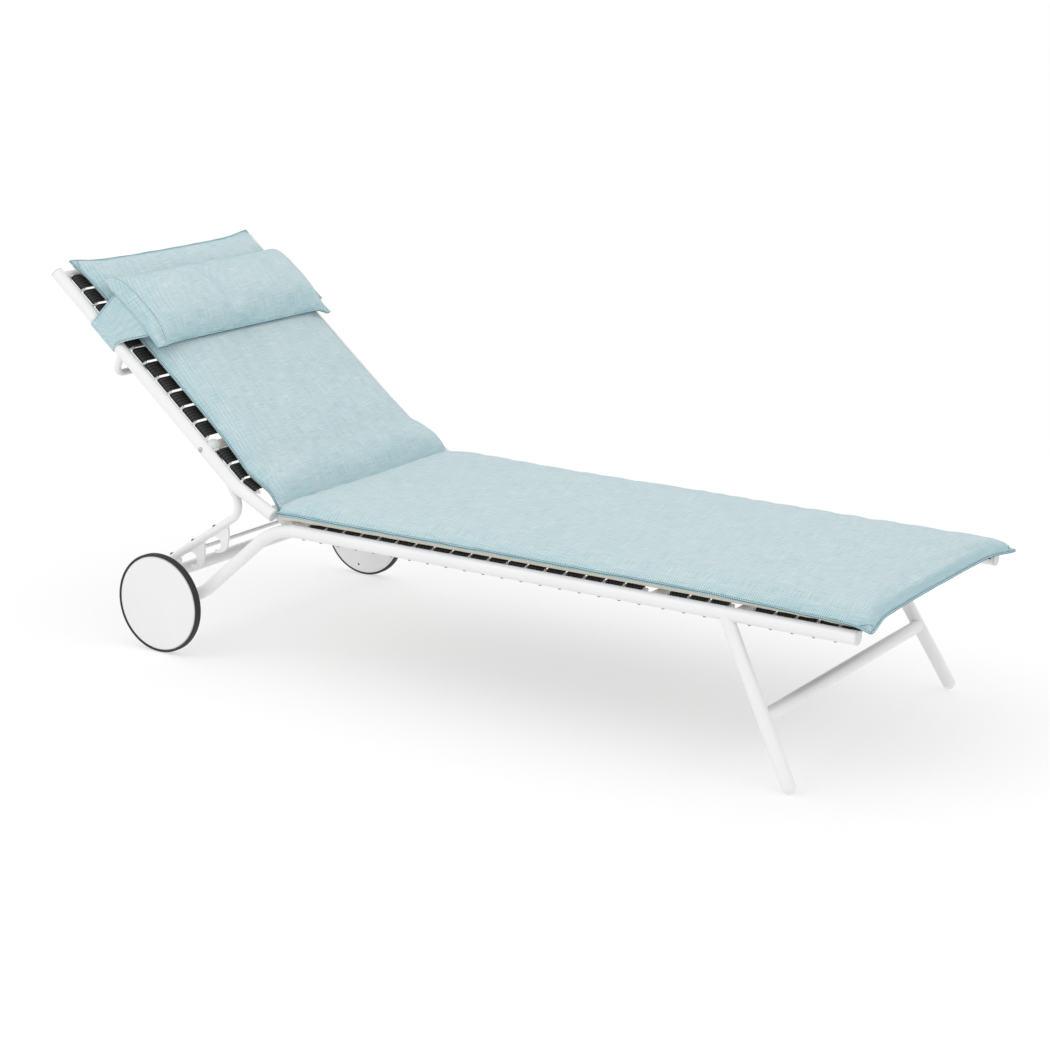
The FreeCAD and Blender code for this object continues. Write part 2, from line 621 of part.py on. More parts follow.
def make_back_belts(belt, peg):
    """The belts lie along the backrest's long run; the last one follows its bent lower end."""
    gap, width = dim("back_belt_gap"), dim("belt_width")
    top = BACK_CROSS["top"] - dim("upper_belts_offset")
    above_stays = BACK_CROSS["stay"] + dim("stay_cross_outer") / 2
    below_stays = BACK_CROSS["stay"] - dim("lower_belts_offset")
    upper = [top - width - step for step in belt_steps(top - above_stays, gap)]
    lower = [below_stays - width - step for step in belt_steps(below_stays, gap)]
    last = dim("last_belt_start") - width
    half_gap = gap / 2
    places = [shifted(BACK_FRAME, x) for x in upper + lower] + [shifted(LOW_FRAME, last)]
    node(copies("back_belts_set", belt, places), "back_belts")
    spots = [x - half_gap for x in upper] + [lower[0] + width + half_gap, lower[0] - half_gap]
    pegs = both_sides(BACK_FRAME, spots) + both_sides(LOW_FRAME, [last - half_gap])
    node(copies("back_pegs_set", peg, pegs), "back_belt_pegs")
    bend = radians(dim("back_bend_angle"))
    rods = []
    for side, sign in SIDES:
        y = sign * ROD_Y
        rods.append(rod(f"back_rod_upper_{side}", on_back(upper[-1] - 2, y, ROD_RISE),
                        on_back(upper[0] + width + 3, y, ROD_RISE), ROD_R,
                        "dims.rod_diameter / 2"))
        kink = BACK_BEND + (BACK_RISE + LOW_RISE).normalize() * (ROD_RISE / cos(bend / 2))
        kink += V(0, y, 0)
        below, above = -last + 6, lower[0] + width + 2
        bent = bent_tube(f"back_rod_lower_{side}",
                         [V(0, 0, 0), V(below, 0, 0),
                          V(below + above * cos(bend), 0, above * sin(bend))],
                         [dim("rod_bend_radius")], "rod_diameter")
        bent.Placement = frame_along(LOW_RUN, LOW_RISE, kink - LOW_RUN * below)
        rods.append(bent)
    node(group("back_rods_group", rods), "back_belt_rods")


# ---------------------------------------------------------------------------------------------
# Backrest
# ---------------------------------------------------------------------------------------------

def back_sides(name, run):
    """The backrest's two side tubes near one place, to shape the ends of what joins them."""
    return [rod(f"{name}_side_{side}", on_back(run - 80, sign * RAIL_Y, 0),
                on_back(run + 80, sign * RAIL_Y, 0), TUBE_R, "dims.tube_outer / 2")
            for side, sign in SIDES]


def make_back_tubes():
    """Side tubes with a slightly bent lower end, drilled on the inside for the hinge pin."""
    caps = []
    low, high = dim("back_low_run"), BACK_TOP
    bend, lip = radians(dim("back_bend_angle")), dim("cap_thickness")
    corner = V(low - lip, 0, 0)
    top = corner + V(cos(bend), 0, sin(bend)) * (high - lip)
    for side, sign in SIDES:
        beside = V(0, sign * RAIL_Y, 0)
        pipe = bent_tube(f"back_pipe_{side}", [V(0, 0, 0), corner, top],
                         [dim("back_bend_radius")], "tube_outer", "tube_wall")
        pipe.Placement = frame_along(LOW_RUN, LOW_RISE, BACK_END + LOW_RUN * lip + beside)
        hole = rod(f"back_hole_{side}", HINGE + V(0, sign * (RAIL_Y - TUBE_R - 5), 0),
                   HINGE + beside, dim("hinge_pin_diameter") / 2 + dim("running_gap"),
                   "dims.hinge_pin_diameter / 2 + dims.running_gap")
        node(cut(f"back_tube_{side}_cut", pipe, [hole]), f"back_tube_{side}")
        caps.append(short_plug(f"back_low_cap_{side}", BACK_END + beside, LOW_RUN))
        caps.append(plug(f"back_top_cap_{side}", on_back(high, 0, 0) + beside, BACK_RUN * -1,
                         TUBE_R, BORE_R))
    node(group("back_caps_group", caps), "back_tube_caps")


def short_plug(name, face, inward):
    """A plug whose stem stops short of the hinge pin."""
    lip, stem = dim("cap_thickness"), dim("cap_thickness") + 4
    points = [V(0, 0, 0), V(TUBE_R - 0.6, 0, 0), V(TUBE_R, 0, 0.6), V(TUBE_R, 0, lip),
              V(BORE_R - 0.02, 0, lip), V(BORE_R - 0.02, 0, stem), V(0, 0, stem)]
    return turned(name, points, pointing(face, face + inward))


def make_back_cross_tubes():
    for label, run in BACK_CROSS.items():
        bar = tube(f"back_{label}_cross", on_back(run, -RAIL_Y, 0), on_back(run, RAIL_Y, 0),
                   f"{label}_cross_outer", "tube_wall", back_sides(f"back_{label}", run))
        node(bar, f"back_cross_tube_{label}")
    bolts = []
    for side, sign in SIDES:
        ball = doc.addObject("Part::Sphere", f"bolt_ball_{side}")
        ball.Radius = dim("bolt_head_radius")
        ball.setExpression("Radius", "dims.bolt_head_radius")
        ball.Placement.Base = on_back(BACK_CROSS["stay"], sign * (RAIL_Y + TUBE_R - 3), 0)
        side_tube = back_sides(f"bolt_{side}", BACK_CROSS["stay"])[0 if sign < 0 else 1]
        bolts.append(cut(f"bolt_{side}", ball, [side_tube]))
    node(group("bolts_group", bolts), "cross_tube_bolts")


def make_handle():
    """A bow behind the backrest, to lift it and to wheel the lounger by."""
    depth, reach = dim("handle_depth"), 2 * RAIL_Y
    pipe = bent_tube("handle_pipe",
                     [V(0, 0, 0), V(depth, 0, 0), V(depth, 0, reach), V(0, 0, reach)],
                     [dim("handle_bend_radius")] * 2, "handle_outer", "tube_wall")
    lean = radians(dim("handle_lean"))
    way = BACK_RISE * -cos(lean) - BACK_RUN * sin(lean)
    run = STRAP_LOW - dim("handle_below_strap")
    pipe.Placement = frame_along(way, V(0, 1, 0), on_back(run, -RAIL_Y, 0))
    node(cut("handle_cut", pipe, back_sides("handle", run)), "handle_bow")


# ---------------------------------------------------------------------------------------------
# Stays
# ---------------------------------------------------------------------------------------------

def notched_plate(name, y):
    """A strip under the arm with one hooked finger ahead of each notch."""
    notch_r = TUBE_R + dim("notch_clearance")
    seat = NOTCH_DEPTH + notch_r
    outline = []
    for index in range(int(dim("notch_count"))):
        notch = dim("notch_start") + index * dim("notch_pitch")
        outer = [(-51, 6), (-47, 9), (-44, 16), (-33, seat - 5.9), (-23, seat + 4.1),
                 (-13, seat + 8.1), (-2, seat + 7.6), (8, seat + 3.6), (13, seat - 0.9)]
        inner = [(notch_r * cos(radians(a)), NOTCH_DEPTH + notch_r * sin(radians(a)))
                 for a in range(45, 211, 15)]
        outline += [V(notch + run, 0, -down) for run, down in outer + inner + [(-6, 10)]]
    end = dim("notch_start") + (dim("notch_count") - 1) * dim("notch_pitch")
    outline += [V(end + 14, 0, -9.5), V(end + 18, 0, -6), V(end + 18, 0, -4)]
    outline += [V(dim("notch_start") - 51, 0, -4)]
    strip = plate(name + "_strip", polygon(outline), "plate_thickness",
                  frame_along(STAY_RUN, STAY_RISE, STAY_CORNER + V(0, y, 0)))
    arm = rod(name + "_arm", on_stay(30, y, 0), on_stay(dim("stay_length"), y, 0), STAY_R,
              "dims.stay_outer / 2")
    return strip, arm


def make_stays():
    """Bent arms that turn on the backrest's lower cross tube, with a notched plate on each."""
    sleeves, plates, screws, plugs = [], [], [], []
    bore_r = dim("stay_cross_outer") / 2 + dim("sleeve_gap")
    bore_text = "dims.stay_cross_outer / 2 + dims.sleeve_gap"
    ring_r, ring_text = bore_r + dim("sleeve_wall"), bore_text + " + dims.sleeve_wall"
    upper = STAY_CORNER - STAY_PIVOT
    reach = upper.Length
    upper_run = upper * (1 / reach)
    turn = upper_run.getAngle(STAY_RUN)
    length, lip = dim("stay_length"), dim("cap_thickness")
    foot = V(reach, 0, 0) + V(cos(turn), 0, sin(turn)) * (length - lip)
    downward = (STAY_RUN - upper_run * STAY_RUN.dot(upper_run)).normalize()
    shank = dim("plate_screw_diameter") / 2
    for side, sign in SIDES:
        y = sign * STAY_Y
        pipe = bent_tube(f"stay_pipe_{side}", [V(0, 0, 0), V(reach, 0, 0), foot],
                         [dim("stay_bend_radius")], "stay_outer", "stay_wall")
        pipe.Placement = frame_along(upper_run, downward, STAY_PIVOT + V(0, y, 0))
        half = V(0, dim("sleeve_width") / 2, 0)
        ends = STAY_PIVOT + V(0, y, 0) - half, STAY_PIVOT + V(0, y, 0) + half
        room = rod(f"stay_room_{side}", *ends, ring_r, ring_text)
        strip, arm = notched_plate(f"notch_{side}", y)
        bars = []
        for index in range(3):
            run = dim("notch_start") + 18 + (index - 0.5) * dim("notch_pitch") * 0.9
            bars.append(rod(f"screw_bar_{side}_{index}", on_stay(run, y, -STAY_R),
                            on_stay(run, y, STAY_R + 1), shank, "dims.plate_screw_diameter / 2"))
            head = [V(0, 0, -2), V(shank, 0, -2), V(shank + 1.8, 0, -1), V(shank + 2, 0, 0),
                    V(shank - 0.02, 0, 0), V(shank - 0.02, 0, 2 * STAY_R + 0.8),
                    V(0, 0, 2 * STAY_R + 0.8)]
            top = on_stay(run, y, -STAY_R)
            screws.append(turned(f"screw_{side}_{index}", head,
                                 pointing(top, top - STAY_RISE)))
        node(cut(f"stay_{side}_cut", pipe, [room, *bars]), f"stay_arm_{side}")
        plates.append(cut(f"notch_plate_{side}", strip, [arm, *bars]))
        body = rod(f"sleeve_{side}_outer", *ends, ring_r, ring_text)
        bore = rod(f"sleeve_{side}_bore", *ends, bore_r, bore_text)
        sleeves.append(cut(f"sleeve_{side}", body, [bore]))
        plugs.append(plug(f"stay_plug_{side}", on_stay(length, y, 0), STAY_RUN * -1, STAY_R,
                          STAY_R - dim("stay_wall")))
    node(group("sleeves_group", sleeves), "stay_pivot_sleeves")
    node(group("notch_plates_group", plates), "notched_plates")
    node(group("screws_group", screws), "plate_screws")
    node(group("stay_plugs_group", plugs), "stay_end_plugs")
    inner = STAY_Y - dim("plate_thickness") / 2
    run, depth = dim("tie_rod_run"), dim("tie_rod_depth")
    tie = rod("tie", on_stay(run, -inner, depth), on_stay(run, inner, depth),
              dim("tie_rod_diameter") / 2, "dims.tie_rod_diameter / 2")
    node(tie, "stay_tie_rod")


# ---------------------------------------------------------------------------------------------
# Wheels
# ---------------------------------------------------------------------------------------------

def make_wheels():
    """Flat discs with a thin tyre: a front disc with rim and hub, a cover behind, a bush."""
    width, rim = dim("wheel_width"), WHEEL_R - dim("tyre_thickness")
    hub, axle = dim("hub_outer") / 2, dim("axle_diameter") / 2 + dim("running_gap")
    bush_r = dim("axle_diameter") / 2 + dim("bush_wall")
    face, cover = width - 1, 2
    floor = face - dim("web_thickness")
    for side, sign in SIDES:
        outward = V(0, sign, 0)
        inner = AXLE + outward * WHEEL_INNER
        place = pointing(inner, inner + outward)
        disc = [V(0, 0, face), V(rim - 3, 0, face), V(rim - 1.2, 0, face - 0.5),
                V(rim, 0, face - 2), V(rim, 0, 1), V(rim - 5, 0, 1), V(rim - 5, 0, floor),
                V(hub, 0, floor), V(hub, 0, cover), V(bush_r, 0, cover), V(bush_r, 0, floor),
                V(0, 0, floor)]
        node(turned(f"disc_{side}", disc, place), f"wheel_disc_{side}")
        tread = [V(rim, 0, 1), V(rim + 2, 0, 0), V(WHEEL_R - 1, 0, 0.8), V(WHEEL_R, 0, 3),
                 V(WHEEL_R, 0, width - 3), V(WHEEL_R - 1, 0, width - 0.8), V(rim + 2, 0, width),
                 V(rim, 0, face - 2)]
        node(turned(f"tread_{side}", tread, place), f"tyre_{side}")
        bush = [V(axle, 0, 0.2), V(bush_r, 0, 0.2), V(bush_r, 0, floor - 3),
                V(axle, 0, floor - 3)]
        node(turned(f"bush_{side}", bush, place), f"wheel_bush_{side}")
        back = [V(bush_r, 0, 0.2), V(rim - 5, 0, 0.2), V(rim - 5, 0, cover),
                V(bush_r, 0, cover)]
        ring = turned(f"back_cover_{side}_ring", back, place)
        hole = inner + V(-13, 0, 21 - WHEEL_R)
        drain = rod(f"back_cover_{side}_drain", hole - outward, hole + outward * 4, 2.5)
        node(cut(f"back_cover_{side}", ring, [drain]), f"wheel_back_cover_{side}")


# ---------------------------------------------------------------------------------------------
# Cushions
# ---------------------------------------------------------------------------------------------

def back_cushion_outline(low, high):
    """The side view of the back cushion, in the backrest's own X and Z.  It bends with the side
    tubes and thins to a lip at its lower end."""
    bend = radians(dim("back_bend_angle"))
    end, top = dim("back_cushion_bottom"), BACK_TOP + dim("back_cushion_past_tubes")
    taper, soft = end + dim("back_cushion_taper"), dim("cushion_edge_radius") / 2

    def bent(run, rise):
        return V(run * cos(bend) + rise * sin(bend), 0, rise * cos(bend) - run * sin(bend))

    return [bent(end, low), V(low * tan(bend / 2), 0, low), V(top - soft, 0, low),
            V(top, 0, low + soft), V(top, 0, high - soft), V(top - soft, 0, high),
            V(high * tan(bend / 2), 0, high), bent(taper, high - 2),
            bent(end, low + dim("back_cushion_lip"))]


def make_cushions():
    """Plain solids for the soft pieces: seat cushion, back cushion, pillow and its strap."""
    thick = dim("cushion_thickness")
    bottom = RAIL_Z + BELT_TOP + dim("cushion_gap")
    half = RAIL_Y + dim("seat_cushion_overlap")
    back_half = RAIL_Y - TUBE_R - dim("back_cushion_side_room")
    low = BELT_TOP + dim("cushion_gap")
    rear = HINGE.x + hypot(dim("hinge_inset"), TUBE_R) + dim("crease_gap")
    seat = padded_block("seat_pad", V(rear, -half, bottom),
                        V(FOOT + dim("cushion_overhang"), half, bottom + thick),
                        "cushion_edge_radius", FreeCAD.Placement())
    node(seat, "seat_cushion")
    back = padded_prism("back_pad", back_cushion_outline(low, low + thick), back_half,
                        "dims.rail_spacing - dims.tube_outer - 2 * dims.back_cushion_side_room",
                        "back_cushion_edge_radius", BACK_FRAME)
    node(back, "back_cushion")
    front = low + thick + 0.6
    pillow_low = front + dim("strap_thickness") + 0.6
    pillow_half = RAIL_Y - TUBE_R - dim("pillow_side_room")
    pillow = padded_block("pillow_pad", V(PILLOW_LOW, -pillow_half, pillow_low),
                          V(PILLOW_TOP, pillow_half, pillow_low + dim("pillow_thickness")),
                          "pillow_edge_radius", BACK_FRAME)
    node(pillow, "head_pillow")
    make_strap(front, back_half)


def make_strap(front, cushion_half):
    """A flat band right round the backrest and its cushion, which holds the pillow."""
    gap, thick = dim("strap_gap"), dim("strap_thickness")
    side, back = RAIL_Y + TUBE_R + gap, -(TUBE_R + gap)

    def ring(out):
        wide, flat, slope = side + out, TUBE_R + out * 0.4, cushion_half + 4 + out * 0.4
        return [V(-wide, 0, back - out), V(wide, 0, back - out), V(wide, 0, flat),
                V(slope, 0, front + out), V(-slope, 0, front + out), V(-wide, 0, flat)]

    body = doc.addObject("PartDesign::Body", "strap_body")
    outline = sketch_on(body, "strap_outline", "XZ_Plane")
    add_outline(outline, polygon(ring(thick)))
    add_outline(outline, polygon(ring(0)))
    pad = body.newObject("PartDesign::Pad", "strap_pad")
    pad.Profile = outline
    pad.Length = dim("strap_width")
    pad.setExpression("Length", "dims.strap_width")
    body.Tip = pad
    # the band is padded down the backrest from its upper edge
    start = on_back(STRAP_LOW + dim("strap_width"), 0, 0)
    body.Placement = FreeCAD.Placement(start, FreeCAD.Rotation(V(0, 1, 0), BACK_RUN, BACK_RISE,
                                                               "XYZ"))
    node(body, "pillow_strap")


# ---------------------------------------------------------------------------------------------
# Build, check and write
# ---------------------------------------------------------------------------------------------

make_rails()
make_legs()
make_seat_cross_tubes()
make_catch()
make_hinges()
BELT, PEG, RIVET = make_templates()
make_seat_belts(BELT, PEG, RIVET)
make_back_belts(BELT, PEG)
make_back_tubes()
make_back_cross_tubes()
make_handle()
make_stays()
make_wheels()
make_cushions()
doc.recompute()

failed = [obj.Name for obj in doc.Objects if {"Invalid", "Error"} & set(obj.State)]
if failed:
    raise RuntimeError(f"these objects did not build: {failed}")
for obj in NODES:
    if obj.Shape.isNull() or not obj.Shape.isValid() or not obj.Shape.Solids:
        raise RuntimeError(f"{obj.Label} has no sound solid")

os.makedirs("parts", exist_ok=True)
for obj in NODES:
    obj.Shape.exportStep(f"parts/{obj.Label}.step")
box = FreeCAD.BoundBox()
for obj in NODES:
    box.add(obj.Shape.BoundBox)
print(f"{len(NODES)} sub-parts; X {box.XMin:.1f} to {box.XMax:.1f}, Y {box.YMin:.1f} to "
      f"{box.YMax:.1f}, Z {box.ZMin:.1f} to {box.ZMax:.1f}")
print(f"hinge {HINGE}, stay pivot {STAY_PIVOT}, catch bar {CATCH}, axle {AXLE}")
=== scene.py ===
# %% [markdown]
# # A reclining sun lounger
# The lounger is a white tube frame on two wheels and two legs. Black elastic belts are laced
# across it, a loose pad lies on the seat and another on the backrest, and a small pillow is held
# at the top by a cloth band. The metal parts come from a CAD model and already have their exact
# shape. This lesson gives them their finish, then sews and fills the soft parts around them.

# %% Open the frame
import json
import math
import bpy
import bmesh
from mathutils import Matrix, Vector, noise


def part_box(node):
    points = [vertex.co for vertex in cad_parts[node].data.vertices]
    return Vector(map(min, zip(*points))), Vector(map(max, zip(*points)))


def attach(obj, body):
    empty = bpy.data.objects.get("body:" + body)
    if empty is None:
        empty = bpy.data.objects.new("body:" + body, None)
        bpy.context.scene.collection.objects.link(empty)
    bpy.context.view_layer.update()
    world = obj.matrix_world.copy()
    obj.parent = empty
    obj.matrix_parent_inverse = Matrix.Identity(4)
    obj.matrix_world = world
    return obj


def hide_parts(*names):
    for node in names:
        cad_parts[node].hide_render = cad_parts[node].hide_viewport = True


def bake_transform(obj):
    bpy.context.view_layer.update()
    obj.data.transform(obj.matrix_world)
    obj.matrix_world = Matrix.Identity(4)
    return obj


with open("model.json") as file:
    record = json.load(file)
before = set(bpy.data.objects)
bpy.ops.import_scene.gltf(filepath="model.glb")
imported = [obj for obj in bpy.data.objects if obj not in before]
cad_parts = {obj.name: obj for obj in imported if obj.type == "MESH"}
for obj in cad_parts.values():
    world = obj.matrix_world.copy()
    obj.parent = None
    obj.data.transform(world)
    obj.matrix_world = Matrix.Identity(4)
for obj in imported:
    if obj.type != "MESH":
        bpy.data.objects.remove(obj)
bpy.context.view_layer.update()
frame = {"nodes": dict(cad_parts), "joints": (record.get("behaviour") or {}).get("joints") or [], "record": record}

# %% [markdown]
# ## Where the soft parts go
# The seat is level, but the backrest leans on a hinge. Everything on the backrest is easier to
# make lying down: local X runs up the backrest, local Y runs across it, and local Z stands out
# from it. One matrix then carries a finished piece to its place on the leaning backrest.

# %% Two working planes
MM = 0.001
RECLINE = math.radians(39.8)
LOW_BEND = math.radians(13.6)
hinge = next(Vector(j["pos_m"]) for j in frame["joints"] if j["name"] == "backrest_hinge")


def tilted(angle, origin):
    """Matrix of a plane through origin whose X rises towards the head by angle."""
    along = Vector((-math.cos(angle), 0, math.sin(angle)))
    rise = Vector((math.sin(angle), 0, math.cos(angle)))
    across = rise.cross(along)
    rows = Matrix((along, across, rise)).transposed().to_4x4()
    rows.translation = origin
    return rows


low_along = Vector((-math.cos(RECLINE - LOW_BEND), 0, math.sin(RECLINE - LOW_BEND)))
TUBE_BEND_UP = 92.5 * MM
back_origin = hinge + low_along * TUBE_BEND_UP
BACK = tilted(RECLINE, back_origin)
seat_low, seat_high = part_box("seat_cushion")
SEAT_BASE = seat_low.z
SEAT = Matrix.Translation((0, 0, SEAT_BASE))
print("hinge at", [round(v, 4) for v in hinge], "backrest plane starts at",
      [round(v, 4) for v in back_origin])

# %% [markdown]
# ## Finishes
# Each effect that several finishes share is a node group with named inputs: the weave of the
# cloth, the fine ripple of sprayed paint, and the ribs of elastic webbing. A group only gives
# colours, roughness and heights. The shader itself stays in each material.

# %% Helpers for node trees
def srgb(red, green, blue):
    """A colour as a paint chart gives it, 0 to 255, turned into the linear values of a shader."""
    linear = [((c / 255 + 0.055) / 1.055) ** 2.4 if c > 10 else c / 255 / 12.92
              for c in (red, green, blue)]
    return (*linear, 1.0)


def new_group(name, inputs, outputs):
    """An empty node group with the given sockets; returns it with its two end nodes."""
    tree = bpy.data.node_groups.new(name, "ShaderNodeTree")
    for label, kind, value in inputs:
        socket = tree.interface.new_socket(label, in_out="INPUT", socket_type=kind)
        if value is not None:
            socket.default_value = value
    for label, kind in outputs:
        tree.interface.new_socket(label, in_out="OUTPUT", socket_type=kind)
    return tree, tree.nodes.new("NodeGroupInput"), tree.nodes.new("NodeGroupOutput")


def maths(tree, operation, first, second=None, third=None):
    """A Math node; each argument is a number or a socket."""
    node = tree.nodes.new("ShaderNodeMath")
    node.operation = operation
    for index, value in enumerate((first, second, third)):
        if value is None:
            continue
        if isinstance(value, (int, float)):
            node.inputs[index].default_value = value
        else:
            tree.links.new(value, node.inputs[index])
    return node.outputs[0]


def mixed(tree, factor, first, second):
    """A colour mix; each argument is a value or a socket."""
    node = tree.nodes.new("ShaderNodeMix")
    node.data_type = "RGBA"
    for index, value in ((0, factor), (6, first), (7, second)):
        if isinstance(value, bpy.types.NodeSocket):
            tree.links.new(value, node.inputs[index])
        else:
            node.inputs[index].default_value = value
    return node.outputs[2]


def cloudy(tree, vector, scale, detail=2.0, stretch=None):
    """Noise from 0 to 1, stretched along the axes if wanted."""
    if stretch:
        scaled = tree.nodes.new("ShaderNodeVectorMath")
        scaled.operation = "MULTIPLY"
        scaled.inputs[1].default_value = stretch
        tree.links.new(vector, scaled.inputs[0])
        vector = scaled.outputs[0]
    node = tree.nodes.new("ShaderNodeTexNoise")
    node.inputs["Scale"].default_value = scale
    node.inputs["Detail"].default_value = detail
    tree.links.new(vector, node.inputs["Vector"])
    return node.outputs["Fac"]


# %% The weave group
def weave_group():
    """Diagonal weave from two thread colours, with long uneven threads both ways. It also
    paints shade on walls by turning them towards the deep thread.
    """
    tree, start, end = new_group(
        "two_tone_weave",
        (("Vector", "NodeSocketVector", None), ("Thread", "NodeSocketFloat", 0.0022),
         ("Light Thread", "NodeSocketColor", (1, 1, 1, 1)),
         ("Deep Thread", "NodeSocketColor", (0, 0.2, 0.3, 1)),
         ("Slub", "NodeSocketFloat", 0.5), ("Painted Wall Shade", "NodeSocketFloat", 0.0)),
        (("Color", "NodeSocketColor"), ("Roughness", "NodeSocketFloat"),
         ("Height", "NodeSocketFloat")))
    take = start.outputs
    parts = tree.nodes.new("ShaderNodeSeparateXYZ")
    tree.links.new(take["Vector"], parts.inputs[0])
    along, across = parts.outputs[:2]
    turns = maths(tree, "DIVIDE", math.tau, take["Thread"])
    slope = maths(tree, "SINE", maths(tree, "MULTIPLY", maths(tree, "ADD", along, across), turns))
    warp = maths(tree, "SINE", maths(tree, "MULTIPLY", maths(tree, "SUBTRACT", along, across),
                                     maths(tree, "MULTIPLY", turns, 1.7)))
    ridge = maths(tree, "MULTIPLY_ADD", slope, 0.45, 0.5)
    ridge = maths(tree, "MULTIPLY_ADD", warp, 0.16, ridge)
    weft = cloudy(tree, take["Vector"], 1.0, 2.0, (24.0, 700.0, 0.0))
    warps = cloudy(tree, take["Vector"], 1.0, 2.0, (700.0, 24.0, 0.0))
    patch = cloudy(tree, take["Vector"], 1.0, 2.0, (9.0, 9.0, 0.0))
    slubs = maths(tree, "ADD", weft, warps)
    slubs = maths(tree, "SUBTRACT", slubs, 1.0)
    share = maths(tree, "MULTIPLY_ADD", slubs, take["Slub"], ridge)
    share = maths(tree, "MULTIPLY_ADD", maths(tree, "SUBTRACT", patch, 0.5), 0.16, share)
    # painted shade: the walls' share is taken off, so walls show more of the deep thread
    share = maths(tree, "SUBTRACT", share, take["Painted Wall Shade"])
    clamp = tree.nodes.new("ShaderNodeClamp")
    tree.links.new(share, clamp.inputs[0])
    colour = mixed(tree, clamp.outputs[0], take["Deep Thread"], take["Light Thread"])
    tree.links.new(colour, end.inputs["Color"])
    rough = maths(tree, "MULTIPLY_ADD", slubs, 0.12, 0.86)
    tree.links.new(rough, end.inputs["Roughness"])
    tree.links.new(maths(tree, "MULTIPLY_ADD", slubs, 0.5, ridge), end.inputs["Height"])
    return tree


WEAVE = weave_group()
print("weave group sockets", [s.name for s in WEAVE.interface.items_tree])


# %% The sprayed paint and webbing groups
def ripple_group():
    """The soft ripple of sprayed paint or moulded plastic, with a little dust in broad uneven patches."""
    tree, start, end = new_group(
        "fine_ripple",
        (("Vector", "NodeSocketVector", None), ("Clean", "NodeSocketColor", (1, 1, 1, 1)),
         ("Dusty", "NodeSocketColor", (0.7, 0.7, 0.68, 1)), ("Ripple", "NodeSocketFloat", 900.0),
         ("Gloss Loss", "NodeSocketFloat", 0.12), ("Base Roughness", "NodeSocketFloat", 0.35)),
        (("Color", "NodeSocketColor"), ("Roughness", "NodeSocketFloat"),
         ("Height", "NodeSocketFloat")))
    take = start.outputs
    broad = cloudy(tree, take["Vector"], 6.0, 3.0)
    fine = tree.nodes.new("ShaderNodeTexNoise")
    fine.inputs["Detail"].default_value = 1.0
    tree.links.new(take["Vector"], fine.inputs["Vector"])
    tree.links.new(take["Ripple"], fine.inputs["Scale"])
    dust = maths(tree, "MULTIPLY_ADD", broad, 1.6, -0.55)
    clamp = tree.nodes.new("ShaderNodeClamp")
    tree.links.new(dust, clamp.inputs[0])
    tree.links.new(mixed(tree, clamp.outputs[0], take["Clean"], take["Dusty"]),
                   end.inputs["Color"])
    rough = maths(tree, "MULTIPLY_ADD", clamp.outputs[0], take["Gloss Loss"],
                  take["Base Roughness"])
    tree.links.new(rough, end.inputs["Roughness"])
    tree.links.new(fine.outputs["Fac"], end.inputs["Height"])
    return tree


def webbing_group():
    """Lengthwise cords of an elastic belt, counted afresh on each belt."""
    tree, start, end = new_group(
        "corded_webbing",
        (("Vector", "NodeSocketVector", None), ("Direction", "NodeSocketVector", (1, 0, 0)),
         ("First Edge", "NodeSocketFloat", 0.0), ("Pitch", "NodeSocketFloat", 0.041),
         ("Cord", "NodeSocketFloat", 0.0068), ("Cover", "NodeSocketColor", (0.01, 0.01, 0.01, 1)),
         ("Rubbed", "NodeSocketColor", (0.05, 0.05, 0.05, 1))),
        (("Color", "NodeSocketColor"), ("Roughness", "NodeSocketFloat"),
         ("Height", "NodeSocketFloat")))
    take = start.outputs
    dot = tree.nodes.new("ShaderNodeVectorMath")
    dot.operation = "DOT_PRODUCT"
    tree.links.new(take["Vector"], dot.inputs[0])
    tree.links.new(take["Direction"], dot.inputs[1])
    along = maths(tree, "SUBTRACT", dot.outputs["Value"], take["First Edge"])
    local = maths(tree, "FLOORED_MODULO", along, take["Pitch"])
    phase = maths(tree, "DIVIDE", local, take["Cord"])
    cord = maths(tree, "ABSOLUTE", maths(tree, "SINE", maths(tree, "MULTIPLY", phase, math.pi)))
    rubbed = cloudy(tree, take["Vector"], 400.0, 2.0)
    tint = maths(tree, "MULTIPLY", maths(tree, "POWER", cord, 3.0), rubbed)
    tree.links.new(mixed(tree, tint, take["Cover"], take["Rubbed"]), end.inputs["Color"])
    tree.links.new(maths(tree, "MULTIPLY_ADD", rubbed, 0.2, 0.55), end.inputs["Roughness"])
    tree.links.new(maths(tree, "MULTIPLY_ADD", rubbed, 0.12, maths(tree, "POWER", cord, 0.5)),
                   end.inputs["Height"])
    return tree


RIPPLE = ripple_group()
WEBBING = webbing_group()
print("groups", [g.name for g in (RIPPLE, WEBBING)])


# %% Turning a group into a material
def finish(name, group, values, bump_depth, shader_values):
    """A material whose colour, roughness and relief come from one group, laid out in the
    object's own space."""
    material = bpy.data.materials.new(name)
    material.use_nodes = True
    tree = material.node_tree
    shader = tree.nodes["Principled BSDF"]
    coords = tree.nodes.new("ShaderNodeTexCoord")
    look = tree.nodes.new("ShaderNodeGroup")
    look.node_tree = group
    tree.links.new(coords.outputs["Object"], look.inputs["Vector"])
    for label, value in values.items():
        look.inputs[label].default_value = value
    bump = tree.nodes.new("ShaderNodeBump")
    bump.inputs["Distance"].default_value = bump_depth
    tree.links.new(look.outputs["Height"], bump.inputs["Height"])
    tree.links.new(bump.outputs["Normal"], shader.inputs["Normal"])
    tree.links.new(look.outputs["Color"], shader.inputs["Base Color"])
    tree.links.new(look.outputs["Roughness"], shader.inputs["Roughness"])
    for label, value in shader_values.items():
        shader.inputs[label].default_value = value
    material.diffuse_color = values.get("Clean", values.get("Light Thread", (0.05,) * 3 + (1,)))
    return material


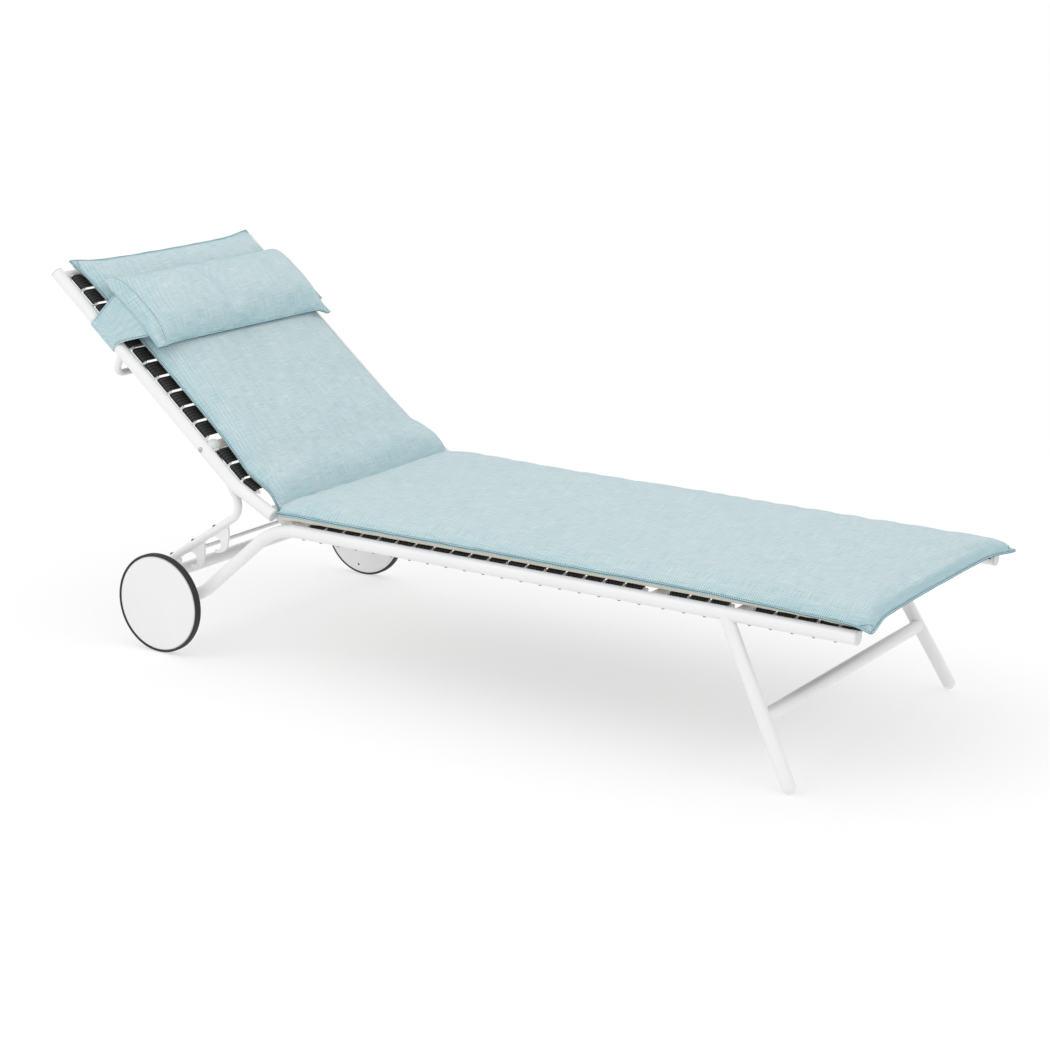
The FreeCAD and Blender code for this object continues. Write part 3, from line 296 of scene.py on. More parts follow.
def on_cloth(material, wall_shade_strength):
    """Lays the weave out along the threads, which each sewn piece keeps as its own attribute:
    the way along the cloth, the way across it, and how much of a wall it is there. The walls
    get painted shade, turning them towards the deep thread by the given strength."""
    tree = material.node_tree
    look = next(n for n in tree.nodes if n.type == "GROUP")
    plane = tree.nodes.new("ShaderNodeAttribute")
    plane.attribute_name = "cloth"
    tree.links.new(plane.outputs["Vector"], look.inputs["Vector"])
    parts = tree.nodes.new("ShaderNodeSeparateXYZ")
    tree.links.new(plane.outputs["Vector"], parts.inputs[0])
    # painted shade on the walls: their share, times the strength, shifts the colour to the deep thread
    tree.links.new(maths(tree, "MULTIPLY", parts.outputs[2], wall_shade_strength), look.inputs["Painted Wall Shade"])
    return material


# %% [markdown]
# The cloth is woven from near-white and aqua yarn. Seen square on, the light yarn wins and the
# pad looks pale. Its walls are painted a deeper aqua: painted shade, and the aqua yarn seen at a
# slant. The underside is a plain cream cloth.

# %% The lounger's finishes
# the aqua cloth's walls get painted shade at strength 0.62; the cream cloth gets none
AQUA = on_cloth(finish("aqua_weave", WEAVE, {
    "Light Thread": srgb(240, 244, 243), "Deep Thread": srgb(141, 190, 200), "Thread": 0.0034,
    "Slub": 1.0}, 0.0006,
    {"Sheen Weight": 0.2, "Sheen Roughness": 0.5, "Specular IOR Level": 0.2}), 0.62)
CREAM = on_cloth(finish("cream_backing", WEAVE, {
    "Light Thread": srgb(240, 235, 222), "Deep Thread": srgb(214, 206, 190),
    "Thread": 0.0016, "Slub": 0.4}, 0.0003, {"Specular IOR Level": 0.2}), 0.0)
# deep teal seam thread for the stitches; as the strip under each seam edge it is painted shadow
THREAD_AND_SEAM_SHADOW = finish("teal_thread_and_seam_shadow", WEAVE, {
    "Light Thread": srgb(96, 150, 162), "Deep Thread": srgb(58, 104, 116),
    "Thread": 0.0009, "Slub": 0.3}, 0.0002, {"Specular IOR Level": 0.3})
WHITE_PAINT = finish("white_powder_coat", RIPPLE, {
    "Clean": srgb(234, 234, 235), "Dusty": srgb(227, 227, 227), "Ripple": 700.0,
    "Base Roughness": 0.33, "Gloss Loss": 0.1}, 0.00006,
    {"Coat Weight": 0.25, "Coat Roughness": 0.2})
WHITE_PLASTIC = finish("white_moulded_plastic", RIPPLE, {
    "Clean": srgb(233, 233, 233), "Dusty": srgb(225, 225, 225), "Ripple": 1500.0,
    "Base Roughness": 0.42, "Gloss Loss": 0.12}, 0.00003, {"Specular IOR Level": 0.45})
GREY_PLASTIC = finish("grey_moulded_caps", RIPPLE, {
    "Clean": srgb(216, 217, 218), "Dusty": srgb(203, 204, 205), "Ripple": 1500.0,
    "Base Roughness": 0.5, "Gloss Loss": 0.1}, 0.00004, {"Specular IOR Level": 0.4})
RUBBER = finish("black_tyre_rubber", RIPPLE, {
    "Clean": srgb(38, 38, 40), "Dusty": srgb(66, 65, 64), "Ripple": 900.0,
    "Base Roughness": 0.6, "Gloss Loss": 0.2}, 0.00008, {"Specular IOR Level": 0.4})
STEEL = finish("plated_steel", RIPPLE, {
    "Clean": srgb(188, 189, 192), "Dusty": srgb(150, 150, 150), "Ripple": 1200.0,
    "Base Roughness": 0.28, "Gloss Loss": 0.15}, 0.00002, {"Metallic": 1.0})
RIVET_METAL = finish("dull_rivets", RIPPLE, {
    "Clean": srgb(150, 150, 152), "Dusty": srgb(120, 120, 121), "Ripple": 1500.0,
    "Base Roughness": 0.45, "Gloss Loss": 0.15}, 0.00002, {"Metallic": 0.6})
DARK_SCREWS = finish("blackened_screws", RIPPLE, {
    "Clean": srgb(52, 52, 54), "Dusty": srgb(78, 78, 78), "Ripple": 1500.0,
    "Base Roughness": 0.4, "Gloss Loss": 0.15}, 0.00002, {"Metallic": 0.7})
back_direction = BACK.to_3x3().col[0]
SEAT_BELT_EDGE, SEAT_BELT_PITCH = -0.2745, 0.041
BACK_BELT_EDGE, BACK_BELT_PITCH = -0.0085, 0.0405
SEAT_WEBBING = finish("black_webbing_seat", WEBBING, {
    "Direction": (1, 0, 0), "First Edge": SEAT_BELT_EDGE, "Pitch": SEAT_BELT_PITCH,
    "Cover": srgb(30, 30, 31), "Rubbed": srgb(74, 74, 76)}, 0.0012, {"Specular IOR Level": 0.35})
BACK_WEBBING = finish("black_webbing_back", WEBBING, {
    "Direction": tuple(back_direction),
    "First Edge": back_origin.dot(back_direction) + BACK_BELT_EDGE, "Pitch": BACK_BELT_PITCH,
    "Cover": srgb(30, 30, 31), "Rubbed": srgb(74, 74, 76)}, 0.0012, {"Specular IOR Level": 0.35})
print("materials", len(bpy.data.materials))

# %% Dress the CAD parts
slot_finish = {"white_metal": WHITE_PAINT, "webbing": SEAT_WEBBING, "steel": STEEL,
               "grey_plastic": GREY_PLASTIC, "tyre_rubber": RUBBER,
               "white_plastic": WHITE_PLASTIC, "cushion_fabric": AQUA}
own_finish = {"back_belts": BACK_WEBBING, "rail_rivets": RIVET_METAL,
              "plate_screws": DARK_SCREWS, "foot_caps": WHITE_PLASTIC}
node_slot = {s["node"]: s["material_slot"] for s in frame["record"]["subparts"]}
for label, part in frame["nodes"].items():
    material = own_finish.get(label, slot_finish[node_slot[label]])
    part.data.materials.clear()
    part.data.materials.append(material)
print("dressed", len(frame["nodes"]), "CAD parts")

# %% [markdown]
# ## Sewing a pad
# A real pad is two sheets of cloth sewn together round the edge and filled with foam. It is
# built the same way here: a top grid and a bottom grid share one edge loop, the seam. The top
# is first drawn near its final height, then a short cloth simulation blows it up a little, so
# that the cloth tightens over the filling and puckers at the seam.

# %% Grid lines that crowd towards the edges
EDGE_STEPS = (0, 1.5, 3.0, 5, 8, 12.5, 18, 24, 32, 42)
LOWER_WALL_ROWS = 2
PAD_CELL, PILLOW_CELL = 0.012, 0.010


def grid_lines(low, high, cell):
    """Positions from low to high: close together near both ends and evenly spaced between."""
    steps = [s * MM for s in EDGE_STEPS]
    inner_low, inner_high = low + steps[-1], high - steps[-1]
    count = max(2, round((inner_high - inner_low) / cell))
    inside = [inner_low + (inner_high - inner_low) * i / count for i in range(1, count)]
    return [low + s for s in steps] + inside + [high - s for s in reversed(steps)]


def smooth(value):
    """An easy slope from 0 to 1, flat at both ends."""
    value = min(max(value, 0.0), 1.0)
    return value * value * (3 - 2 * value)


def lengths(points):
    """How far along a row of points each one is, counted from the middle of the row."""
    steps = [0.0]
    for a, b in zip(points, points[1:]):
        steps.append(steps[-1] + (b - a).length)
    return [s - steps[-1] / 2 for s in steps]


def keep_threads(data, values):
    """Stores the way along the cloth, the way across and the share of wall on each point."""
    layer = data.attributes.new("cloth", "FLOAT_VECTOR", "POINT")
    layer.data.foreach_set("vector", [number for value in values for number in value])


def sewn_pad(name, xs, ys, top_height, base_height, outline):
    """A closed pad over the grid. The heights and the outline are functions of x and y. The
    first rows under the seam are still the pad's own cloth, and the rest is the backing."""
    mesh = bmesh.new()
    last_x, last_y = len(xs) - 1, len(ys) - 1
    top, base = {}, {}
    for i, x in enumerate(xs):
        for j, y in enumerate(ys):
            at_x, at_y = outline(x, y)
            top[i, j] = mesh.verts.new((at_x, at_y, top_height(x, y)))
            on_seam = i in (0, last_x) or j in (0, last_y)
            base[i, j] = top[i, j] if on_seam else mesh.verts.new((at_x, at_y,
                                                                 base_height(x, y)))
    for i in range(last_x):
        for j in range(last_y):
            mesh.faces.new((top[i, j], top[i + 1, j], top[i + 1, j + 1], top[i, j + 1]))
            under = mesh.faces.new((base[i, j], base[i, j + 1], base[i + 1, j + 1],
                                    base[i + 1, j]))
            from_seam = min(i, j, last_x - 1 - i, last_y - 1 - j)
            under.material_index = 0 if from_seam < LOWER_WALL_ROWS else 1
    mesh.verts.index_update()
    rim = [top[i, 0].index for i in range(last_x)] + [top[last_x, j].index for j in range(last_y)]
    rim += [top[i, last_y].index for i in range(last_x, 0, -1)]
    rim += [top[0, j].index for j in range(last_y, 0, -1)]
    order = {key: vertex.index for key, vertex in top.items()}
    flat = {}
    for i in range(last_x + 1):
        for j in range(last_y + 1):
            flat[base[i, j].index] = (xs[i], ys[j])
    for i in range(last_x + 1):
        for j, across in enumerate(lengths([top[i, j].co for j in range(last_y + 1)])):
            flat[order[i, j]] = (0.0, across)
    for j in range(last_y + 1):
        for i, along in enumerate(lengths([top[i, j].co for i in range(last_x + 1)])):
            flat[order[i, j]] = (along, flat[order[i, j]][1])
    data = bpy.data.meshes.new(name)
    mesh.to_mesh(data)
    mesh.free()
    keep_threads(data, [(*flat[k], 0.0) for k in range(len(flat))])
    pad = bpy.data.objects.new(name, data)
    bpy.context.collection.objects.link(pad)
    for material in (AQUA, CREAM):
        data.materials.append(material)
    for face in data.polygons:
        face.use_smooth = True
    print(name, "has", len(data.vertices), "points and a seam of", len(rim))
    return pad, rim, order


# %% [markdown]
# The simulation holds the seam still, lets the cloth be a little larger than its outline, and
# pushes from inside. Each point may only move a short way from where it was drawn, so the pad
# keeps its size, and the underside stays on the belts. The result is written into the mesh and
# the simulation is taken off again.

# %% Filling a pad
FRAMES = 18


def fill(pad, rim, pressure, spare_cloth, limit, floor):
    """Inflates the pad by cloth simulation and keeps each point within limit of its start. What
    the pad rests on holds its underside up: no point sinks below floor unless it began there."""
    group = pad.vertex_groups.new(name="seam")
    group.add(rim, 1.0, "REPLACE")
    cloth = pad.modifiers.new("cloth", "CLOTH")
    settings = cloth.settings
    settings.vertex_group_mass = "seam"
    settings.use_pressure = True
    settings.uniform_pressure_force = pressure
    settings.shrink_min = -spare_cloth
    settings.tension_stiffness = settings.compression_stiffness = 12
    settings.bending_stiffness = 0.6
    settings.quality = 5
    settings.effector_weights.gravity = 0
    cloth.collision_settings.use_collision = False
    cloth.point_cache.frame_start, cloth.point_cache.frame_end = 1, FRAMES
    start = [v.co.copy() for v in pad.data.vertices]
    for number in range(1, FRAMES + 1):
        bpy.context.scene.frame_set(number)
    settled = pad.evaluated_get(bpy.context.evaluated_depsgraph_get())
    moved = [v.co.copy() for v in settled.data.vertices]
    pad.modifiers.remove(cloth)
    pad.vertex_groups.clear()
    bpy.context.scene.frame_set(1)
    furthest = 0.0
    for vertex, before, after in zip(pad.data.vertices, start, moved):
        step = after - before
        furthest = max(furthest, step.length)
        if step.length > 1e-9:
            step *= limit * math.tanh(step.length / limit) / step.length
        vertex.co = before + step
        vertex.co.z = max(vertex.co.z, min(before.z, floor))
    print(pad.name, "cloth wanted to move", round(furthest * 1000, 1), "mm, limit",
          round(limit * 1000, 1))


def subdivide(pad):
    """One smooth subdivision, written into the mesh, and a note of where its walls are."""
    bpy.context.view_layer.objects.active = pad
    modifier = pad.modifiers.new("smooth", "SUBSURF")
    modifier.levels = modifier.render_levels = 1
    done = bpy.data.meshes.new_from_object(pad.evaluated_get(
        bpy.context.evaluated_depsgraph_get()))
    pad.modifiers.remove(modifier)
    pad.data = done
    for face in pad.data.polygons:
        face.use_smooth = True
    # the wall share below is the mask for the painted shade on the walls
    for vertex, threads in zip(done.vertices, done.attributes["cloth"].data):
        threads.vector.z = 1 - abs(vertex.normal.z)


# %% [markdown]
# ## Seams
# Where the two sheets meet, a narrow double edge stands out: the aqua top over a deep teal
# strip, which is painted shadow under the edge. A row of stitches runs beside it. Both follow the
# seam loop of the finished pad, so they stay on it wherever the filling pushed it.

# %% Seam edge and stitches
def loop_frames(points):
    """For each point of a closed loop in the pad's plane: the point and its outward direction."""
    frames = []
    count = len(points)
    for i, point in enumerate(points):
        run = points[(i + 1) % count] - points[i - 1]
        outward = Vector((run.y, -run.x, 0)).normalized()
        frames.append((point, outward))
    return frames


SEAM_INSET = 0.003


def seam_edge(name, points, width, thickness, lift, material, crease):
    """A flat strip of doubled cloth round a loop of seam points. It fades away towards the
    crease, the X where the two pads press against each other."""
    mesh = bmesh.new()
    rings = []
    for point, outward in loop_frames(points):
        wave = noise.noise(point * 28) * 0.0012
        share = smooth((abs(point.x - crease) - 0.004) / 0.02)
        inner = point - outward * SEAM_INSET + Vector((0, 0, lift * share))
        outer = (point + outward * (width * share - SEAM_INSET * 0.7 * (1 - share))
                 + Vector((0, 0, lift * 0.6 + wave)) * share)
        up = Vector((0, 0, thickness / 2))
        rings.append([mesh.verts.new(p) for p in (inner - up, outer - up, outer + outward * 0.0004,
                                                  outer + up, inner + up)])
    count = len(rings)
    # the edge counts as half a wall, so it takes half the walls' painted shade
    threads = [(way, 0.001 * j, 0.5) for way in lengths(points) for j in range(5)]
    for i in range(count):
        a, b = rings[i], rings[(i + 1) % count]
        for j in range(5):
            mesh.faces.new((a[j], b[j], b[(j + 1) % 5], a[(j + 1) % 5]))
    bmesh.ops.recalc_face_normals(mesh, faces=mesh.faces[:])
    data = bpy.data.meshes.new(name)
    mesh.to_mesh(data)
    mesh.free()
    keep_threads(data, threads)
    data.materials.append(material)
    for face in data.polygons:
        face.use_smooth = True
    strip = bpy.data.objects.new(name, data)
    bpy.context.collection.objects.link(strip)
    return strip


def stitch_row(name, path, pitch, radius, material):
    """Short rounded stitches laid end to end along a path of points."""
    passed = [0.0]
    for a, b in zip(path, path[1:]):
        passed.append(passed[-1] + (b - a).length)
    mesh = bmesh.new()
    segment, position = 0, pitch * 0.5
    while position < passed[-1] - pitch * 0.5:
        while passed[segment + 1] < position:
            segment += 1
        a, b = path[segment], path[segment + 1]
        run = (b - a).normalized()
        centre = a + run * (position - passed[segment])
        across = run.cross(Vector((0, 0, 1))).normalized()
        up = across.cross(run)
        rings = []
        for share, size in ((-0.36, 0.5), (-0.2, 1.0), (0.2, 1.0), (0.36, 0.5)):
            middle = centre + run * pitch * share + up * radius * (size - 0.7)
            rings.append([mesh.verts.new(middle + (across * math.cos(t) + up * math.sin(t))
                                         * radius * size)
                          for t in (i * math.tau / 6 for i in range(6))])
        for low, high in zip(rings, rings[1:]):
            for j in range(6):
                mesh.faces.new((low[j], low[(j + 1) % 6], high[(j + 1) % 6], high[j]))
        mesh.faces.new(rings[0][::-1])
        mesh.faces.new(rings[-1])
        position += pitch
    bmesh.ops.recalc_face_normals(mesh, faces=mesh.faces[:])
    data = bpy.data.meshes.new(name)
    mesh.to_mesh(data)
    mesh.free()
    data.materials.append(material)
    row = bpy.data.objects.new(name, data)
    bpy.context.collection.objects.link(row)
    return row


def settle(pieces, matrix, body):
    """Carries finished pieces from their working plane to the lounger and fixes them to a body."""
    for piece in pieces:
        piece.matrix_world = matrix
        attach(piece, body)


# %% [markdown]
# ## The seat pad
# It is a long thin pad, flat underneath where it rests on the belts. Its wall leans outwards
# down to a seam half way up the edge, and the two foot corners end in small pointed ears, each
# held by a row of thread. The seam droops towards the foot end, which reaches past the last belt.

# %% Make the seat pad
SEAT_END = hinge.x + 0.001
SEAT_HALF = 0.304
seat_foot = seat_high.x - 0.002
SEAT_THICK = 0.0355
SEAT_SEAM = 0.0165
LOWER_WALL = 0.0055
TUBE_END_X = hinge.x + 0.022


def wall(distance, shoulder, width, reach):
    """Share of the full height at some distance in from the seam: a wall, then a soft crown."""
    side = math.sin(min(distance / width, 1.0) * math.pi / 2) ** 0.8
    return shoulder * side + (1 - shoulder) * (1 - math.exp(-max(distance - width * 0.5, 0)
                                                            / reach))


def ear_share(x, y):
    """1 at the tips of the two foot corners, falling to nothing a few centimetres away."""
    side = smooth((abs(y) / SEAT_HALF - 0.55) / 0.45)
    return math.exp(-(seat_foot - x) / 0.020) * side ** 3


def seat_seam(x, y):
    """Height of the seam: half way up the wall, sinking towards the foot end and its ears."""
    return SEAT_SEAM - 0.008 * smooth(1 - (seat_foot - x) / 0.35) - 0.006 * ear_share(x, y)


def seat_top(x, y):
    to_foot, to_rear, to_side = seat_foot - x, x - SEAT_END, SEAT_HALF - abs(y)
    share = wall(to_side, 0.68, 0.016, 0.045) * wall(to_foot, 0.78, 0.012, 0.05)
    share *= wall(to_rear, 0.5, 0.012, 0.035)
    seam = seat_seam(x, y)
    return seam + (SEAT_THICK - seam) * share


def seat_base(x, y):
    edge = min(seat_foot - x, SEAT_HALF - abs(y), x - SEAT_END)
    return 0.0004 + (seat_seam(x, y) - 0.0004) * (1 - smooth(edge / LOWER_WALL))


def seat_outline(x, y):
    """Ears at the foot corners, sides pulled in between, and rear corners cut for the tubes."""
    foot = math.exp(-(seat_foot - x) / 0.020)
    side = smooth((abs(y) / SEAT_HALF - 0.55) / 0.45)
    corner = ear_share(x, y)
    half = SEAT_HALF - 0.003 * math.sin(math.pi * smooth((x - SEAT_END) / 1.22)) * side
    narrow = smooth(1 - (x - TUBE_END_X + 0.004) / 0.006) * 0.0185
    at_y = y / SEAT_HALF * (half - narrow * side) + math.copysign(0.012, y) * corner
    bow = 0.006 * (1 - (y / SEAT_HALF) ** 2) * foot
    return x + 0.012 * corner - bow, at_y


seat_xs = grid_lines(SEAT_END, seat_foot, PAD_CELL)
seat_ys = grid_lines(-SEAT_HALF, SEAT_HALF, PAD_CELL)
seat_pad, seat_rim, seat_order = sewn_pad("seat_pad", seat_xs, seat_ys, seat_top, seat_base,
                                         seat_outline)
fill(seat_pad, seat_rim, 3.0, 0.012, 0.0045, floor=-0.0008)

# %% Edge and stitches of the seat pad
def open_side(loop, end_count):
    """The part of a seam loop that leaves out the end at the crease."""
    return loop[2:len(loop) - end_count - 1]


def raised(points, out, up):
    """The loop moved out from the pad and up from its plane."""
    return [p + outward * out + Vector((0, 0, up)) for p, outward in loop_frames(points)]


TACK_PITCH, TACK_RADIUS = 0.0035, 0.0006


def ear_tacks(name, pad, order):
    """A row of thread across each ear of a pad, over the grid points that cut off its corner."""
    last_x, last_y = max(i for i, j in order), max(j for i, j in order)
    rows = []
    for label, columns in (("left", range(1, 7)), ("right", range(last_y - 1, last_y - 7, -1))):
        points = [pad.data.vertices[order[last_x - 6 + step, column]].co.copy()
                  for step, column in enumerate(columns)]
        rows.append(stitch_row(f"{name}_{label}", [p + Vector((0, 0, 0.0004)) for p in points],
                               TACK_PITCH, TACK_RADIUS, THREAD_AND_SEAM_SHADOW))
    return rows


seat_loop = [seat_pad.data.vertices[i].co.copy() for i in seat_rim]
seat_edges = [
    seam_edge("seat_seam_top", seat_loop, 0.0028, 0.0010, 0.0008, AQUA, SEAT_END),
    # painted shadow: this deep teal strip under the aqua edge stands for the shade beneath it
    seam_edge("seat_seam_shadow_strip", seat_loop, 0.0026, 0.0018, -0.0008, THREAD_AND_SEAM_SHADOW, SEAT_END),
]
subdivide(seat_pad)
seat_threads = open_side(raised(seat_loop, 0.0008, 0.0020), len(seat_ys))
STITCH_PITCH, STITCH_RADIUS = 0.0045, 0.0004
seat_edges.append(stitch_row("seat_stitches", seat_threads, STITCH_PITCH, STITCH_RADIUS, THREAD_AND_SEAM_SHADOW))
seat_edges += ear_tacks("seat_ear_tack", seat_pad, seat_order)
settle([seat_pad, *seat_edges], SEAT, "frame")
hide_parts("seat_cushion")
print("seat pad size", [round(v, 3) for v in seat_pad.dimensions])

# %% [markdown]
# ## The back pad
# The back pad is narrower, so that it lies between the side tubes, and it follows their slight
# bend near the hinge. Its seam runs half way up the wall. Its lower end dips into the seat pad's
# rear edge, so the two meet in a sharp crease. That end belongs to the seat: it is one cover on
# the real lounger.

# %% Make the back pad
BACK_THICK = 0.034
BACK_GAP = 0.0156
BACK_TOP = 0.573
BACK_END = -0.106
BACK_SEAM = 0.014
BACK_MEAN_HALF = 0.27


def back_half(x):
    """Half width: 269 mm on most of the backrest, 17 mm more towards the hinge."""
    return 0.269 + 0.017 * smooth(1 - (x - BACK_END) / 0.24)


def end_dip(x):
    """How far the lower end sinks below the line of the side tubes."""
    return 0.016 * smooth(1 - (x - BACK_END) / 0.045)


def back_seam(x):
    """Height of the seam: it sinks a little at the top end, where the filling ends."""
    return BACK_SEAM - 0.004 * smooth(1 - (BACK_TOP - x) / 0.06)


def back_top_height(x, y):
    half = back_half(x)
    to_side = half - abs(y) * half
    share = wall(to_side, 0.66, 0.016, 0.045) * wall(BACK_TOP - x, 0.66, 0.017, 0.05)
    share *= wall(x - BACK_END, 0.35, 0.014, 0.04)
    return back_seam(x) + (BACK_THICK + 0.003 - back_seam(x)) * share - end_dip(x)


def back_base_height(x, y):
    half = back_half(x)
    edge = min(half - abs(y) * half, BACK_TOP - x, x - BACK_END)
    return back_seam(x) * (1 - smooth(edge / LOWER_WALL)) - end_dip(x)


def back_outline(x, y):
    half = back_half(x)
    head = math.exp(-(BACK_TOP - x) / 0.020)
    side = smooth((abs(y) - 0.55) / 0.45)
    corner = head * side ** 3
    pull = 0.003 * math.sin(math.pi * smooth((x - BACK_END) / (BACK_TOP - BACK_END))) * side
    return (x + 0.008 * corner - 0.005 * (1 - y * y) * head,
            y * (half - pull) + math.copysign(0.008, y) * corner)


back_xs = grid_lines(BACK_END, BACK_TOP, PAD_CELL)
back_ys = [v / BACK_MEAN_HALF for v in grid_lines(-BACK_MEAN_HALF, BACK_MEAN_HALF, PAD_CELL)]
back_pad, back_rim, back_order = sewn_pad("back_pad", back_xs, back_ys, back_top_height,
                                         back_base_height, back_outline)
fill(back_pad, back_rim, 3.0, 0.012, 0.004, floor=0.0)


# %% Bend its lower end with the tubes
BEND_START, BEND_LENGTH = 0.050, 0.090


def bend_low_end(point):
    """Turns everything below the bend by the tubes' angle, about the pad's underside."""
    lifted = point + Vector((0, 0, BACK_GAP))
    if lifted.x >= BEND_START:
        return lifted
    share = smooth((BEND_START - lifted.x) / BEND_LENGTH)
    turn = Matrix.Rotation(LOW_BEND * share, 4, "Y")
    return turn @ lifted


back_loop = [back_pad.data.vertices[i].co.copy() for i in back_rim]
back_edges = [
    seam_edge("back_seam_top", back_loop, 0.0028, 0.0010, 0.0008, AQUA, BACK_END),
    # painted shadow: this deep teal strip under the aqua edge stands for the shade beneath it
    seam_edge("back_seam_shadow_strip", back_loop, 0.0026, 0.0016, -0.0007, THREAD_AND_SEAM_SHADOW, BACK_END),
]
subdivide(back_pad)
back_threads = open_side(raised(back_loop, 0.0008, 0.0020), len(back_ys))
back_edges.append(stitch_row("back_stitches", back_threads, STITCH_PITCH, STITCH_RADIUS, THREAD_AND_SEAM_SHADOW))
back_edges += ear_tacks("back_ear_tack", back_pad, back_order)
for piece in [back_pad, *back_edges]:
    for vertex in piece.data.vertices:
        vertex.co = bend_low_end(vertex.co)

# %% Carry the back pad onto the leaning backrest
for piece in [back_pad, *back_edges]:
    piece.matrix_world = BACK
    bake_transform(piece)
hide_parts("back_cushion")
print("back pad size", [round(v, 3) for v in back_pad.dimensions])

# %% [markdown]
# ## The head pillow
# The pillow is fuller than the pads: two sheets meet in a sharp edge all round, and the filling
# is highest in the middle. The cloth gathers along the lower seam, and the band pulls the ends
# down, the left one more than the right.

# %% Make the pillow
PILLOW_LOW, PILLOW_TOP, PILLOW_HALF = 0.313, 0.494, 0.2815
PILLOW_BASE, PILLOW_SEAM, PILLOW_FULL = 0.0532, 0.009, 0.043


def pillow_droop(y):
    """How far the pillow's ends are pulled down by its band; the left one more than the right."""
    return (0.013 if y < 0 else 0.002) * smooth((abs(y) - 0.225) / 0.0525)


def pillow_top(x, y):
    along = min(max((x - PILLOW_LOW) / (PILLOW_TOP - PILLOW_LOW), 0), 1)
    lens = (1 - abs(2 * along - 1) ** 2.6) ** 0.55
    ends = 1 - math.exp(-(PILLOW_HALF - abs(y)) / 0.030)
    ripple = 0.0012 * noise.noise(Vector((x * 18, y * 30, 3.1))) * lens
    pucker = 0.0010 * math.sin(y * 260 + 3 * noise.noise(Vector((y * 9, 0, 0))))
    near_seam = math.exp(-(x - PILLOW_LOW) / 0.018)
    height = (PILLOW_FULL - PILLOW_SEAM) * lens * ends + ripple + pucker * near_seam
    return PILLOW_SEAM + height - pillow_droop(y)


def pillow_base(x, y):
    edge = min(x - PILLOW_LOW, PILLOW_TOP - x, PILLOW_HALF - abs(y))
    return PILLOW_SEAM * (1 - smooth(edge / 0.03)) - pillow_droop(y)


def pillow_outline(x, y):
    along = (x - PILLOW_LOW) / (PILLOW_TOP - PILLOW_LOW)
    side = smooth((abs(y) / PILLOW_HALF - 0.6) / 0.4)
    end = abs(2 * along - 1) ** 6
    pull = 0.005 * math.sin(math.pi * along) * side
    return (x + math.copysign(0.004, along - 0.5) * (side ** 3 - 0.5) * end,
            y - math.copysign(pull, y))


pillow_xs = grid_lines(PILLOW_LOW, PILLOW_TOP, PILLOW_CELL)
pillow_ys = grid_lines(-PILLOW_HALF, PILLOW_HALF, PILLOW_CELL)
pillow, pillow_rim, pillow_order = sewn_pad("head_rest_pillow", pillow_xs, pillow_ys,
                                            pillow_top, pillow_base, pillow_outline)
pillow.data.materials[1] = AQUA
fill(pillow, pillow_rim, 5.0, 0.03, 0.008, floor=-0.0138)
pillow_loop = [pillow.data.vertices[i].co.copy() for i in pillow_rim]
pillow_edge = seam_edge("pillow_seam", pillow_loop, 0.0016, 0.0016, 0.0, AQUA, PILLOW_TOP)
subdivide(pillow)
# a thick dark cord along the lower seam: the seam's thread, drawn heavy as painted shadow under the pillow's lower
# edge
shadow_cord_path = raised(pillow_loop, 0.0024, -0.0003)[1 - len(pillow_ys):]
pillow_pieces = [pillow, pillow_edge,
                 stitch_row("pillow_low_seam_shadow_cord", shadow_cord_path, 0.0024, 0.0009, THREAD_AND_SEAM_SHADOW)]
END_COLUMN = 7
for label, column in (("left", END_COLUMN), ("right", len(pillow_ys) - 1 - END_COLUMN)):
    line = [pillow.data.vertices[pillow_order[i, column]].co + Vector((0, 0, 0.0003))
            for i in range(2, len(pillow_xs) - 2)]
    pillow_pieces.append(stitch_row(f"pillow_end_stitches_{label}", line, 0.004, 0.0004, THREAD_AND_SEAM_SHADOW))
settle(pillow_pieces, BACK @ Matrix.Translation((0, 0, PILLOW_BASE)), "backrest")
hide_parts("head_pillow")

# %% [markdown]
# ## The pillow's band
# A single layer of the same cloth is sewn to both ends of the pillow, goes round the outside of
# the side tubes and across behind them. It is wide where it leaves the pillow and narrows to
# the tube, so its two edges are separate lines and the cloth is ruled between them.

# %% Make the band
TUBE_Y, TUBE_WRAP = 0.300, 0.0142
BAND_ON_TUBE = (0.373, 0.447)
BAND_ON_PILLOW = (0.338, 0.458)


def band_profile():
    """Points across one side of the lounger from the pillow's end to the middle of the back,
    each with how far the band has narrowed."""
    points = [(0.262, PILLOW_BASE + 0.0095, 0.0), (0.272, PILLOW_BASE + 0.0085, 0.04),
              (0.281, PILLOW_BASE + 0.0055, 0.12), (0.290, 0.0475, 0.34),
              (0.299, 0.0345, 0.62), (0.307, 0.0215, 0.86)]
    for degrees in range(35, -91, -15):
        turn = math.radians(degrees)
        points.append((TUBE_Y + TUBE_WRAP * math.cos(turn), TUBE_WRAP * math.sin(turn), 1.0))
    points += [(y, -TUBE_WRAP - 0.0006 * math.sin(math.pi * y / 0.29), 1.0)
               for y in (0.27, 0.22, 0.16, 0.10, 0.05)]
    return points


